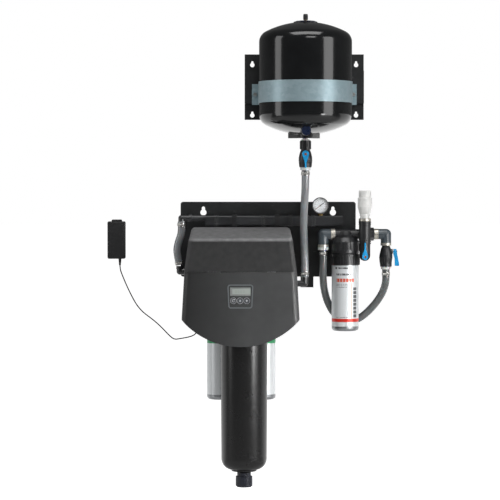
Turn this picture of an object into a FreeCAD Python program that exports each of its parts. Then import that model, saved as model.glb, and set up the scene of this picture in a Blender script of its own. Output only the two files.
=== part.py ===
"""Wall-hung reverse osmosis water unit: storage tank above, filters and membrane housing below.

Frame: X to the right, Y into the wall, Z up, in millimetres. The wall is the plane Y = 0 and the
origin is midway between the two keyholes of the back plate.
"""
import FreeCAD, Part
import math
import os
import types

import Sketcher

V = FreeCAD.Vector
doc = FreeCAD.newDocument("ReverseOsmosisUnit")
sheet = doc.addObject("Spreadsheet::Sheet", "Sizes")

SIZES = {
    # back plate and its keyholes
    "plate_wide": 541, "plate_top": 33, "plate_low": -198.5, "plate_thick": 3, "plate_corner": 8,
    "keyhole_x": 200, "keyhole_round": 9.5, "keyhole_slot": 5, "keyhole_rise": 18.5,
    "tab_left": 100, "tab_right": 140, "tab_low": -231.5,
    # tank bracket
    "tank_x": 111, "tank_y": -158, "hanger_wide": 367, "hanger_low": 285.8, "hanger_top": 487.2,
    "rib_low": 335.7, "rib_top": 436.2, "rib_deep": 17.8, "hanger_thick": 3,
    "hanger_hole_x": 160, "hanger_hole_low": 299.5, "hanger_hole_top": 454.5,
    "hanger_round": 6.8, "hanger_slot": 3.5, "hanger_rise": 12,
    # tank
    "tank_r": 139.7, "tank_low": 236.5, "tank_tall": 337.9, "tank_wall": 2, "crown_r": 265,
    "knuckle_r": 35, "strap_mid": 363, "strap_tall": 64, "strap_thick": 1.5, "ear_reach": 161,
    # tank fittings
    "tank_valve_z": 177, "hose_r": 11.5, "hose_bore": 8, "barb_r": 8, "ball_r": 11, "ball_bore": 7,
    # filter heads and cartridges
    "head_y": -95, "head_pitch": 127, "head_one_x": -146, "remin_x": 234, "port_z": -65,
    "head_top": -56, "collar_top": -125, "collar_low": -158, "collar_r": 45,
    "can_r": 41.3, "can_low": -568, "remin_low": -359.6, "nozzle_r": 17,
    # membrane housing
    "ro_x": -74, "ro_y": -200, "ro_r": 71.5, "ro_low_r": 68.5, "ro_low": -770, "ro_wall": 5,
    # cover
    "cover_x": -84, "cover_front": 290, "cover_back": 105, "cover_wall": 3, "roof_front": -74,
    "roof_back": -44, "seam_z": -173, "corner_z": -315, "cover_low": -395.4,
    "half_top": 155.5, "half_seam": 167, "half_corner": 175.2,
    # outlet branch on the right
    "tee_x": 292, "outlet_x": 358, "outlet_valve_z": -131, "elbow_x": 167, "pipe_r": 11,
    # power adapter and cord
    "adapter_x": -466.5, "adapter_wide": 55, "adapter_low": -142, "adapter_tall": 115,
    "cord_r": 1.7,
}
for row, (alias, number) in enumerate(SIZES.items(), start=1):
    sheet.set("A%d" % row, alias)
    sheet.set("B%d" % row, str(number))
    sheet.setAlias("B%d" % row, alias)
doc.recompute()


class Dim:
    """A length that carries both its number and the sheet formula that gives it."""

    def __init__(self, number, formula):
        self.number = number
        self.formula = formula

    def __float__(self):
        return float(self.number)

    def __neg__(self):
        return Dim(-self.number, "-(%s)" % self.formula)

    def __add__(self, other):
        other = dim(other)
        return Dim(self.number + other.number, "(%s + %s)" % (self.formula, other.formula))

    def __sub__(self, other):
        other = dim(other)
        return Dim(self.number - other.number, "(%s - %s)" % (self.formula, other.formula))

    def __mul__(self, other):
        other = dim(other)
        return Dim(self.number * other.number, "(%s * %s)" % (self.formula, other.formula))

    def __truediv__(self, other):
        other = dim(other)
        return Dim(self.number / other.number, "(%s / %s)" % (self.formula, other.formula))

    def __radd__(self, other):
        return dim(other) + self

    def __rsub__(self, other):
        return dim(other) - self

    __rmul__ = __mul__


def root(value):
    """The square root of a Dim."""
    return Dim(math.sqrt(value.number), "sqrt(%s)" % value.formula)


def dim(value):
    """A plain number as a Dim; a Dim as it is."""
    if isinstance(value, Dim):
        return value
    return Dim(float(value), "%.6f" % value)


d = types.SimpleNamespace(**{a: Dim(float(sheet.get(a)), "Sizes." + a) for a in SIZES})

PIECES = {}
counter = {"n": 0}

UPRIGHT = FreeCAD.Rotation()
FORWARD = FreeCAD.Rotation(V(1, 0, 0), 90)        # local Z points at the viewer, local Y up
RIGHTWARD = FreeCAD.Rotation(V(0, 1, 0), 90)      # local Z points right
LEFTWARD = FreeCAD.Rotation(V(0, 1, 0), -90)      # local Z points left
DOWNWARD = FreeCAD.Rotation(V(1, 0, 0), 180)      # local Z points down
BACKWARD = FreeCAD.Rotation(V(1, 0, 0), -90)      # local Z points into the wall
SIDEWAYS = FreeCAD.Rotation(V(0, -1, 0), V(0, 0, 1), V(-1, 0, 0), "XYZ")  # X forward, Y up, Z left
TO_RIGHT = FreeCAD.Rotation(V(0, 0, 1), 90)       # what faced the viewer faces right
TO_LEFT = FreeCAD.Rotation(V(0, 0, 1), 180)       # what ran right runs left
OVER_LEFT = FreeCAD.Rotation(V(0, 1, 0), 180)     # upside down, and right runs left
FACE_RIGHT = FreeCAD.Rotation(V(0, 1, 0), V(0, 0, 1), V(1, 0, 0), "XYZ")  # Y up, Z right


def unique(stem):
    """A document name that no other object has."""
    counter["n"] += 1
    return "%s_%d" % (stem, counter["n"])


def bind(obj, **values):
    """Set properties to numbers and, where they are Dims, to their formulas."""
    for name, value in values.items():
        setattr(obj, name, float(value))
        if isinstance(value, Dim):
            obj.setExpression(name, value.formula)
    return obj


def place(obj, x=0, y=0, z=0, turn=UPRIGHT):
    """Put an object at a point and turn it; the coordinates stay tied to the sheet."""
    obj.Placement = FreeCAD.Placement(V(float(x), float(y), float(z)), turn)
    for name, value in (("x", x), ("y", y), ("z", z)):
        if isinstance(value, Dim):
            obj.setExpression("Placement.Base." + name, value.formula)
    return obj


def node(obj, name):
    """Register a finished sub-part under its name."""
    obj.Label = name
    PIECES[name] = obj
    return obj


# ---- sketches ----------------------------------------------------------------------------------

def plane_of(body, role):
    """One of a body's own origin planes."""
    return [f for f in body.Origin.OriginFeatures if f.Role == role][0]


def pin(sketch, geo, pos, a, b):
    """Hold a sketch vertex at (a, b), with the distances tied to the sheet."""
    for kind, value, axis in (("DistanceX", a, -2), ("DistanceY", b, -1)):
        if abs(float(value)) < 1e-9:
            sketch.addConstraint(Sketcher.Constraint("PointOnObject", geo, pos, axis))
            continue
        index = sketch.addConstraint(Sketcher.Constraint(kind, -1, 1, geo, pos, float(value)))
        if isinstance(value, Dim):
            sketch.setExpression("Constraints[%d]" % index, value.formula)


def arc_between(start, end, radius):
    """The arc of a signed radius from start to end: positive turns anticlockwise."""
    chord = end - start
    half = chord.Length / 2
    rise = math.sqrt(max(radius * radius - half * half, 0))
    normal = V(-chord.y, chord.x, 0).normalize()
    side = 1 if radius > 0 else -1
    centre = (start + end) * 0.5 + normal * rise * side
    first, last = (start, end) if radius > 0 else (end, start)
    first_angle = math.atan2(first.y - centre.y, first.x - centre.x)
    last_angle = math.atan2(last.y - centre.y, last.x - centre.x)
    if last_angle < first_angle:
        last_angle += 2 * math.pi
    return Part.ArcOfCircle(Part.Circle(centre, V(0, 0, 1), abs(radius)), first_angle, last_angle)


def hold_arc(sketch, geo, start, end, radius):
    """Fix an arc between pinned ends: by its radius, or as a half circle by its level centre."""
    if abs((end - start).Length / 2 - abs(float(radius))) < 1e-6:
        sketch.addConstraint(Sketcher.Constraint("Horizontal", geo, 3, geo, 1))
        return
    index = sketch.addConstraint(Sketcher.Constraint("Radius", geo, abs(float(radius))))
    if isinstance(radius, Dim):
        sketch.setExpression("Constraints[%d]" % index, "abs(%s)" % radius.formula)


def draw_loop(sketch, points):
    """Draw a closed loop of lines and arcs; a point is (a, b) or (a, b, radius of the arc to it)."""
    count = len(points)
    spots = [V(float(p[0]), float(p[1]), 0) for p in points]
    ends = []
    for i in range(count):
        if len(points[i]) == 3:
            radius = float(points[i][2])
            geo = sketch.addGeometry(arc_between(spots[i - 1], spots[i], radius), False)
            ends.append((geo, 1, 2) if radius > 0 else (geo, 2, 1))
        else:
            geo = sketch.addGeometry(Part.LineSegment(spots[i - 1], spots[i]), False)
            ends.append((geo, 1, 2))
    for i in range(count):
        here = ends[i]
        after = ends[(i + 1) % count]
        sketch.addConstraint(Sketcher.Constraint("Coincident", here[0], here[2], after[0], after[1]))
        pin(sketch, here[0], here[2], points[i][0], points[i][1])
        if len(points[i]) == 3:
            hold_arc(sketch, here[0], spots[i - 1], spots[i], points[i][2])


def draw_circle(sketch, a, b, r):
    """Draw a circle whose centre and radius are tied to the sheet."""
    circle = Part.Circle(V(float(a), float(b), 0), V(0, 0, 1), float(r))
    geo = sketch.addGeometry(circle, False)
    pin(sketch, geo, 3, a, b)
    index = sketch.addConstraint(Sketcher.Constraint("Radius", geo, float(r)))
    if isinstance(r, Dim):
        sketch.setExpression("Constraints[%d]" % index, r.formula)


def new_sketch(body, role, loops=(), circles=()):
    """A sketch on one of the body's origin planes, with its loops and circles drawn."""
    sketch = body.newObject("Sketcher::SketchObject", unique("Sketch"))
    sketch.AttachmentSupport = [(plane_of(body, role), "")]
    sketch.MapMode = "FlatFace"
    for loop in loops:
        draw_loop(sketch, loop)
    for circle in circles:
        draw_circle(sketch, *circle)
    return sketch


def keyhole(a, b, r, w, rise):
    """The outline of a keyhole: a round of radius r with a slot of half width w above it."""
    meet = math.sqrt(float(r) ** 2 - float(w) ** 2)
    return [(a - w, b + meet, -r), (a - w, b + rise - w), (a + w, b + rise - w, -w),
            (a + w, b + meet), (a, b - r, -r)]


# ---- solids ------------------------------------------------------------------------------------

def lathe(outline):
    """A turned piece: the outline holds (radius, height) points and turns about Z."""
    body = doc.addObject("PartDesign::Body", unique("Turned"))
    sketch = new_sketch(body, "XZ_Plane", [outline])
    turned = body.newObject("PartDesign::Revolution", unique("Revolution"))
    turned.Profile = sketch
    turned.ReferenceAxis = (sketch, ["V_Axis"])
    turned.Angle = 360
    return body


def ring(inner, outer, low, high):
    """A plain turned ring or, with inner 0, a disc."""
    return lathe([(inner, low), (outer, low), (outer, high), (inner, high)])


def plate(outline, thick, holes=(), rounds=()):
    """A flat piece cut from sheet: outline and holes in XY, thickness up Z."""
    body = doc.addObject("PartDesign::Body", unique("Plate"))
    sketch = new_sketch(body, "XY_Plane", [outline] + list(holes), rounds)
    pad = body.newObject("PartDesign::Pad", unique("Pad"))
    pad.Profile = sketch
    bind(pad, Length=thick)
    return body


def rectangle(left, low, right, top):
    """The outline of an upright rectangle."""
    return [(left, low), (right, low), (right, top), (left, top)]


def soft_rectangle(left, low, right, top, r):
    """The outline of a rectangle with its four corners rounded."""
    return [(left + r, low, r), (right - r, low), (right, low + r, r), (right, top - r),
            (right - r, top, r), (left + r, top), (left, top - r, r), (left, low + r)]


def solid_box(left, front, low, right, back, top):
    """A plain block between two corners."""
    block = doc.addObject("Part::Box", unique("Block"))
    bind(block, Length=dim(right) - left, Width=dim(back) - front, Height=dim(top) - low)
    return place(block, left, front, low)


def rod(r, length, x=0, y=0, z=0, turn=UPRIGHT):
    """A round bar that starts at a point and runs along its own Z."""
    bar = doc.addObject("Part::Cylinder", unique("Rod"))
    bind(bar, Radius=r, Height=length)
    return place(bar, x, y, z, turn)


def cone(low_r, top_r, length, x=0, y=0, z=0, turn=UPRIGHT):
    """A tapered bar that starts at a point and runs along its own Z."""
    bar = doc.addObject("Part::Cone", unique("Cone"))
    bind(bar, Radius1=low_r, Radius2=top_r, Height=length)
    return place(bar, x, y, z, turn)


def ball(r, x, y, z):
    """A sphere about a point."""
    sphere = doc.addObject("Part::Sphere", unique("Ball"))
    bind(sphere, Radius=r)
    return place(sphere, x, y, z)


def fuse(*shapes):
    """Join several objects into one."""
    joined = doc.addObject("Part::MultiFuse", unique("Joined"))
    joined.Shapes = list(shapes)
    joined.Refine = True
    return joined


def cut(base, *tools):
    """Take every tool away from the base."""
    tool = tools[0] if len(tools) == 1 else fuse(*tools)
    left = doc.addObject("Part::Cut", unique("Cut"))
    left.Base = base
    left.Tool = tool
    return left


def common(base, tool):
    """Keep what two objects share."""
    shared = doc.addObject("Part::Common", unique("Shared"))
    shared.Base = base
    shared.Tool = tool
    return shared


def group(*shapes):
    """Several like pieces kept as separate solids of one node."""
    bundle = doc.addObject("Part::Compound", unique("Group"))
    bundle.Links = list(shapes)
    return bundle


def soften(obj, radius, choose):
    """Round the edges that choose(edge) picks out."""
    doc.recompute()
    rounded = doc.addObject("Part::Fillet", unique("Rounded"))
    rounded.Base = obj
    rounded.Edges = [(i, float(radius), float(radius))
                     for i, edge in enumerate(obj.Shape.Edges, start=1) if choose(edge)]
    return rounded


def made(shape, x=0, y=0, z=0, turn=UPRIGHT):
    """A piece whose shape is worked out directly."""
    feature = doc.addObject("Part::Feature", unique("Worked"))
    feature.Shape = shape
    return place(feature, x, y, z, turn)


def along(edge, axis):
    """Whether a straight edge runs along an axis: 0 for X, 1 for Y, 2 for Z."""
    if not isinstance(edge.Curve, Part.Line):
        return False
    return abs(abs(edge.Curve.Direction[axis]) - 1) < 1e-6


# ---- hoses and cords ---------------------------------------------------------------------------

def bend_radius(before, corner, after):
    """The largest arc that two runs of a route leave room for at their corner."""
    first = corner - before
    second = after - corner
    turn = first.getAngle(second)
    return 0.45 * min(first.Length, second.Length) / math.tan(turn / 2), turn


def route_wire(points):
    """Straight runs joined by tangent arcs, and the radius of each arc."""
    spots = [V(*p) for p in points]
    edges = []
    radii = []
    start = spots[0]
    for before, corner, after in zip(spots, spots[1:], spots[2:]):
        radius, turn = bend_radius(before, corner, after)
        reach = radius * math.tan(turn / 2)
        into = (corner - before).normalize()
        out = (after - corner).normalize()
        near = corner - into * reach
        far = corner + out * reach
        middle = corner + (out - into).normalize() * (radius / math.cos(turn / 2) - radius)
        edges.append(Part.LineSegment(start, near).toShape())
        edges.append(Part.Arc(near, middle, far).toShape())
        radii.append(radius)
        start = far
    edges.append(Part.LineSegment(start, spots[-1]).toShape())
    return Part.Wire(edges), radii


def swept(wire, r):
    """A round bar of radius r along a wire."""
    first = wire.OrderedEdges[0]
    start = first.valueAt(first.FirstParameter)
    heading = first.tangentAt(first.FirstParameter)
    section = Part.Wire([Part.Circle(start, heading, r).toShape()])
    return wire.makePipeShell([section], True, False)


def tube(points, r, bore=None, label=""):
    """A round cord or, with a bore, a hose along a route; prints its bends and checks its volume."""
    wire, radii = route_wire(points)
    shape = swept(wire, float(r))
    area = math.pi * float(r) ** 2
    if bore is not None:
        shape = shape.cut(swept(wire, float(bore)))
        area -= math.pi * float(bore) ** 2
    print("%s: length %.1f, radii %s, volume / section x length %.4f" % (
        label, wire.Length, [round(v, 1) for v in radii], shape.Volume / (area * wire.Length)))
    return made(shape)


# ================================================================================================
# Back plate
# ================================================================================================

clip_spots = (-104, 27, 110)
clip_screw_levels = (-1, -51)
clip_screw_holes = [(x, z, 2.1) for x in clip_spots for z in clip_screw_levels]
back_plate = plate(
    soft_rectangle(-d.plate_wide / 2, d.plate_low, d.plate_wide / 2, d.plate_top, d.plate_corner),
    d.plate_thick,
    holes=[keyhole(-d.keyhole_x, 0, d.keyhole_round, d.keyhole_slot, d.keyhole_rise),
           keyhole(d.keyhole_x, 0, d.keyhole_round, d.keyhole_slot, d.keyhole_rise)],
    rounds=clip_screw_holes)
hose_tab = plate(rectangle(d.tab_left, d.tab_low, d.tab_right, d.plate_low + 30), 3)
node(fuse(place(back_plate, turn=FORWARD), place(hose_tab, 0, -d.plate_thick, 0, FORWARD)),
     "back_plate")

# pieces of one kind that never move share a node; each stays a solid of its own
hose_clamps = []
spigots = []
elbows = []

# ================================================================================================
# Tank, its wall bracket and its strap
# ================================================================================================

tank_top = d.tank_low + d.tank_tall
knuckle_in = d.tank_r - d.knuckle_r
crown_gap = d.crown_r - d.knuckle_r
knuckle_z = d.crown_r - root(crown_gap * crown_gap - knuckle_in * knuckle_in)


def tank_half(opening):
    """Half of the pressed steel tank, standing on its crown, with a round opening at its middle."""
    def tangent(radius):
        share = radius / crown_gap
        return knuckle_in + knuckle_in * share, knuckle_z - (d.crown_r - knuckle_z) * share
    inner_r = d.tank_r - d.tank_wall
    inner_crown = d.crown_r - d.tank_wall
    inner_knuckle = d.knuckle_r - d.tank_wall
    outer_spot = tangent(d.knuckle_r)
    inner_spot = tangent(inner_knuckle)
    opening = dim(opening)
    outer_z = d.crown_r - root(d.crown_r * d.crown_r - opening * opening)
    inner_z = d.crown_r - root(inner_crown * inner_crown - opening * opening)
    middle = d.tank_tall / 2
    return lathe([
        (opening, outer_z), (outer_spot[0], outer_spot[1], d.crown_r),
        (d.tank_r, knuckle_z, d.knuckle_r), (d.tank_r, middle), (inner_r, middle),
        (inner_r, knuckle_z), (inner_spot[0], inner_spot[1], -inner_knuckle),
        (opening, inner_z, -inner_crown)])


node(place(tank_half(9), d.tank_x, d.tank_y, d.tank_low), "tank_shell_lower")
node(place(tank_half(5), d.tank_x, d.tank_y, tank_top, DOWNWARD), "tank_shell_upper")

seam_z = d.tank_low + d.tank_tall / 2
skin_r = d.tank_r - d.tank_wall
diaphragm = lathe([(0, -60), (133, 0, 179.6), (skin_r - 0.3, 0), (skin_r - 0.3, 4), (132, 4),
                   (0, -57.5, -176)])
node(place(diaphragm, d.tank_x, d.tank_y, seam_z), "tank_diaphragm")

air_valve = lathe([(1.5, -9), (8, -9), (8, -2.6), (4.4, -2.6), (4.4, 20), (3.6, 21), (1.5, 21)])
node(place(air_valve, d.tank_x, d.tank_y, tank_top), "air_valve")
air_valve_cap = lathe([(4.6, 6), (6.6, 6), (6.6, 22.5), (5.6, 24), (0, 24), (0, 21.5), (4.6, 21.5)])
node(place(air_valve_cap, d.tank_x, d.tank_y, tank_top), "air_valve_cap")
valve_tag = lathe([(8.2, 0.4), (31, 0.4), (36, -0.9), (36, 0.2), (31, 1.6), (8.2, 1.6)])
node(place(valve_tag, d.tank_x, d.tank_y, tank_top), "air_valve_tag")

hanger_left = d.tank_x - d.hanger_wide / 2
hanger_right = d.tank_x + d.hanger_wide / 2
hat = plate([
    (0, d.hanger_low), (d.hanger_thick, d.hanger_low), (d.hanger_thick, d.rib_low),
    (d.rib_deep, d.rib_low), (d.rib_deep, d.rib_top), (d.hanger_thick, d.rib_top),
    (d.hanger_thick, d.hanger_top), (0, d.hanger_top), (0, d.rib_top - d.hanger_thick),
    (d.rib_deep - d.hanger_thick, d.rib_top - d.hanger_thick),
    (d.rib_deep - d.hanger_thick, d.rib_low + d.hanger_thick), (0, d.rib_low + d.hanger_thick)],
    d.hanger_wide)
place(hat, hanger_right, 0, 0, SIDEWAYS)
hanger_cuts = []
for side in (-1, 1):
    for level in (d.hanger_hole_low, d.hanger_hole_top):
        hole_x = d.tank_x + d.hanger_hole_x * side
        slot_top = level + d.hanger_rise - d.hanger_slot
        slot = plate([(hole_x - d.hanger_slot, level), (hole_x - d.hanger_slot, slot_top),
                      (hole_x + d.hanger_slot, slot_top, -d.hanger_slot),
                      (hole_x + d.hanger_slot, level)], 20)
        hanger_cuts.append(place(slot, 0, 5, 0, FORWARD))
        hanger_cuts.append(rod(d.hanger_round, 20, hole_x, 5, level, FORWARD))
bolt_reach = d.ear_reach - 10
bolt_spots = [(d.tank_x - bolt_reach, d.strap_mid), (d.tank_x + bolt_reach, d.strap_mid)]
for bolt_x, bolt_z in bolt_spots:
    hanger_cuts.append(rod(3.3, 40, bolt_x, 5, bolt_z, FORWARD))
node(cut(hat, *hanger_cuts), "tank_bracket")

strap_in = d.tank_r + 0.25
strap_out = strap_in + d.strap_thick
ear_back = -d.tank_y - d.rib_deep
ear_front = ear_back - d.strap_thick
strap_band = plate([
    (d.ear_reach, ear_back), (strap_in, ear_back), (strap_in, 0), (-strap_in, 0, -strap_in),
    (-strap_in, ear_back), (-d.ear_reach, ear_back), (-d.ear_reach, ear_front),
    (-strap_out, ear_front), (-strap_out, 0), (strap_out, 0, strap_out), (strap_out, ear_front),
    (d.ear_reach, ear_front)], d.strap_tall)
place(strap_band, d.tank_x, d.tank_y, d.strap_mid - d.strap_tall / 2)
strap_cuts = [rod(3.3, 20, x, -10, z, FORWARD) for x, z in bolt_spots]
node(cut(strap_band, *strap_cuts), "tank_strap")


def hexagon(r):
    """The outline of a hexagon whose corners lie at radius r."""
    return [(r * math.cos(math.radians(60 * i)), r * math.sin(math.radians(60 * i)))
            for i in range(6)]


def hex_bolt(x, y, z, shank, grip, head_r=6.5):
    """A hexagon bolt whose head rests on the plane Y = y and whose shank runs into the wall."""
    head = place(plate(hexagon(head_r), 4.5), x, y, z, FORWARD)
    return fuse(head, rod(shank, grip, x, y, z, BACKWARD))


def hex_nut(x, y, z, bore):
    """A hexagon nut on the wall side of the plane Y = y."""
    return place(plate(hexagon(6.5), 4.5, rounds=[(0, 0, bore)]), x, y, z, BACKWARD)


strap_front_y = -d.rib_deep - d.strap_thick
strap_bolts = [hex_bolt(x, strap_front_y, z, 3, 15) for x, z in bolt_spots]
strap_nuts = [hex_nut(x, -d.rib_deep + d.hanger_thick, z, 3.05) for x, z in bolt_spots]
node(group(*strap_bolts, *strap_nuts), "strap_fasteners")

# ================================================================================================
# Fittings under the tank
# ================================================================================================


def tank_crown():
    """The ball that the lower crown of the tank is part of, a little larger."""
    return ball(d.crown_r + 0.4, d.tank_x, d.tank_y, d.tank_low + d.crown_r)


def stand_leg(reach, angle):
    """One leg of the tank's foot, from its hub outwards."""
    leg = solid_box(15, -8, 0, reach, 8, 22)
    return place(leg, d.tank_x, d.tank_y, d.tank_low - 11, FreeCAD.Rotation(V(0, 0, 1), angle))


leg_reach = 66
hub = rod(22, 22, d.tank_x, d.tank_y, d.tank_low - 11)
stand_block = fuse(hub, stand_leg(leg_reach, 30), stand_leg(leg_reach, 150),
                   stand_leg(leg_reach - 20, 270))
for leg in stand_block.Shapes[1:]:
    turned = leg.Placement.Rotation
    leg.Placement = FreeCAD.Placement(
        V(float(d.tank_x), float(d.tank_y), float(d.tank_low) - 11) + turned.multVec(V(15, -8, 0)),
        turned)
node(cut(stand_block, tank_crown(), rod(9.1, 40, d.tank_x, d.tank_y, d.tank_low - 20)),
     "tank_foot")

port_z = d.tank_low + 9
port_front = -262
port_body = rod(14, 60, d.tank_x, port_front, port_z, BACKWARD)
port_hole = rod(9, 14, d.tank_x, port_front, port_z, BACKWARD)
drain_boss = cut(port_body, tank_crown(), port_hole)
plug = cone(7.5, 8.9, 13, d.tank_x, port_front + 13.5, port_z, FORWARD)
node(group(drain_boss, plug), "tank_drain")

nipple = lathe([(6, 198), (8.8, 198), (8.8, 219), (12.5, 219), (12.5, 222.5), (8.8, 222.5),
                (8.8, 243), (6, 243)])
spigots.append(place(nipple, d.tank_x, d.tank_y, 0))

coupling = doc.addObject("PartDesign::Body", "Coupling")
grip_sketch = new_sketch(coupling, "XY_Plane", circles=[(0, 0, 15.6), (0, 0, 9)])
grip_pad = coupling.newObject("PartDesign::Pad", "GripPad")
grip_pad.Profile = grip_sketch
bind(grip_pad, Length=26.5)
rib_sketch = new_sketch(coupling, "XY_Plane", [rectangle(15, -1.4, 17, 1.4)])
rib_pad = coupling.newObject("PartDesign::Pad", "RibPad")
rib_pad.Profile = rib_sketch
bind(rib_pad, Length=24.5)
doc.recompute()
ribs = coupling.newObject("PartDesign::PolarPattern", "Ribs")
ribs.Originals = [rib_pad]
ribs.Axis = (grip_sketch, ["N_Axis"])
ribs.Angle = 360
ribs.Occurrences = 18
coupling.Tip = ribs
node(place(coupling, d.tank_x, d.tank_y, 192), "tank_coupling")


def valve_body(top, low, top_r, wide_z, wide_r, low_r):
    """A ball valve's moulded body about its ball's centre, with its stem hole towards the viewer."""
    outside = lathe([
        (0, low), (low_r, low), (low_r, low + 13), (wide_r, wide_z - 4), (wide_r, wide_z + 4),
        (top_r + 3.5, top - 10), (top_r, top - 1.5), (top_r, top), (0, top)])
    boss = rod(8, wide_r + 0.5, 0, 0, 0, FORWARD)
    return cut(fuse(outside, boss), ball(d.ball_r + 0.05, 0, 0, 0),
               rod(d.ball_bore, top - low + 10, 0, 0, low - 5),
               rod(4.05, 60, 0, 0, 0, FORWARD))


def valve_ball(reach):
    """The bored ball with its stem, which reaches out through the body towards the viewer."""
    drilled = cut(ball(d.ball_r, 0, 0, 0), rod(d.ball_bore, 60, 0, 0, -30))
    stem = common(rod(4, reach, 0, 0, 0, FORWARD),
                  cut(rod(20, reach + 10, 0, 0, 0, FORWARD), rod(d.ball_bore, 60, 0, 0, -30)))
    return fuse(drilled, stem)


def teardrop(hub_r, tail_w, tail_reach, thick, screw_r):
    """A valve lever: a round hub at the origin with a tail that tapers downwards."""
    return plate([
        (-hub_r * 0.95, -hub_r * 0.3), (-tail_w, -hub_r - 14), (-tail_w, -tail_reach + tail_w),
        (tail_w, -tail_reach + tail_w, tail_w), (tail_w, -hub_r - 14),
        (hub_r * 0.95, -hub_r * 0.3), (hub_r * 0.95, hub_r * 0.3), (0, hub_r, hub_r),
        (-hub_r * 0.95, hub_r * 0.3, hub_r)],
        thick, rounds=[(0, 0, screw_r)])


def lever_screw(head_r, depth):
    """A pan-headed screw that holds a lever on its stem."""
    return lathe([(0, -depth), (2, -depth), (2, 0), (head_r, 0), (head_r, 1.4), (head_r - 1, 2.2),
                  (0, 2.2)])


tank_valve = valve_body(14.9, -39.4, 13.5, -14, 20.3, 18)
node(place(tank_valve, d.tank_x, d.tank_y, d.tank_valve_z), "tank_valve_body")
tank_lever = [place(valve_ball(25), d.tank_x, d.tank_y, d.tank_valve_z),
              place(teardrop(10.8, 2.5, 41, 6, 2.1), d.tank_x, d.tank_y - 25.2, d.tank_valve_z,
                    FORWARD),
              place(lever_screw(3.6, 4), d.tank_x, d.tank_y - 31.2, d.tank_valve_z, FORWARD)]
node(group(*tank_lever), "tank_valve_lever")


def hose_barb(flange_r):
    """A collar with a barbed spigot that hangs below it; the origin is the collar's top."""
    return lathe([(5.8, 4), (6.9, 4), (6.9, 0), (flange_r, 0), (flange_r, -8), (d.hose_bore, -8),
                  (d.hose_bore - 0.1, -9), (d.hose_bore - 0.1, -30), (d.hose_bore - 1.2, -34),
                  (5.8, -34)])


def hose_clamp(x, y, z, turn=UPRIGHT):
    """A worm-drive clamp round a hose, with its screw housing towards the viewer."""
    band = ring(d.hose_r + 0.25, d.hose_r + 1.5, -5, 5)
    housing = solid_box(-7, -float(d.hose_r) - 6.5, -4, 7, -float(d.hose_r) - 1.0, 4)
    screw = cone(3, 3, 17, -8.5, -float(d.hose_r) - 4.0, 0, RIGHTWARD)
    whole = fuse(band, cut(housing, rod(d.hose_r + 1.4, 12, 0, 0, -6)), screw)
    return place(whole, x, y, z, turn)


spigots.append(place(hose_barb(15.7), d.tank_x, d.tank_y, d.tank_valve_z - 39.5))
hose_clamps.append(hose_clamp(d.tank_x, d.tank_y, 119))

TANK_HOSE = [(111, -158, 129), (111, -158, 78), (107.5, -141, 12), (106.5, -112, -55),
             (110, -90, -120), (111.5, -88, -160), (111.5, -88, -196)]
node(tube(TANK_HOSE, d.hose_r, d.hose_bore, "tank hose"), "tank_hose")


def elbow(leg_a, leg_b, bend_r, bore, spigot=0, flange=0):
    """A right-angle fitting: one leg up Z, one leg along +X, with a hose spigot above the first."""
    corner = ball(bend_r, 0, 0, 0)
    outside = [rod(bend_r, leg_a), corner, rod(bend_r, leg_b, turn=RIGHTWARD)]
    if flange:
        outside.append(rod(bend_r + flange, 9, 0, 0, leg_a - 9))
    if spigot:
        outside.append(rod(d.hose_bore - 0.1, leg_a + spigot))
    inside = [rod(bore, leg_a + spigot + 5), ball(bore, 0, 0, 0),
              rod(bore, leg_b + 5, turn=RIGHTWARD)]
    return cut(fuse(*outside), *inside)


# ---- the tank line's lower end -----------------------------------------------------------------

lower_z = -216
elbows.append(place(elbow(19.5, 38, 9.5, 5.5, spigot=22), 111.5, -88, lower_z, TO_LEFT))
hose_clamps.append(hose_clamp(111.5, -88, -185))

# ================================================================================================
# Manifold along the top of the plate
# ================================================================================================

manifold_left = -193
manifold_right = 227
manifold_y = -58
union_z = -17
gauge_x = 159.2
gauge_y = -63
manifold_block = soften(solid_box(manifold_left, -73, -40, manifold_right, -43, -9.5), 4,
                        lambda edge: along(edge, 0))
union = lathe([(0, -1), (9.5, -1), (9.5, 40), (12, 41), (12, 50), (9.5, 51), (9.5, 54.8),
               (0, 54.8)])
place(union, manifold_left, manifold_y, union_z, LEFTWARD)
node(cut(fuse(manifold_block, union),
         rod(6, 465, manifold_left - 60, manifold_y, union_z, RIGHTWARD),
         rod(5.1, 12, gauge_x, gauge_y, -20)), "manifold")

clip_profile = [(3, 7), (5, 7), (5, -7.3), (75.1, -7.3), (75.1, -42.2), (5, -42.2), (5, -58),
                (3, -58), (3, -40.2), (73.1, -40.2), (73.1, -9.3), (3, -9.3)]
clips = []
for clip_x in clip_spots:
    strip = place(plate(clip_profile, 14), clip_x + 7, 0, 0, SIDEWAYS)
    holes = [rod(2.1, 10, clip_x, 0, z, FORWARD) for z in clip_screw_levels]
    clips.append(cut(strip, *holes))
clip_screws = [place(lever_screw(4.2, 4.5), x, -5, z, FORWARD)
               for x in clip_spots for z in clip_screw_levels]
node(group(*clips, *clip_screws), "manifold_clips")

# ---- the inlet hose at the left ----------------------------------------------------------------

inlet_x = -266
top_elbow = elbow(10, 18, 9.8, 5.5, spigot=18)
place(top_elbow, inlet_x, manifold_y, union_z, DOWNWARD)
elbows.append(top_elbow)

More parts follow.
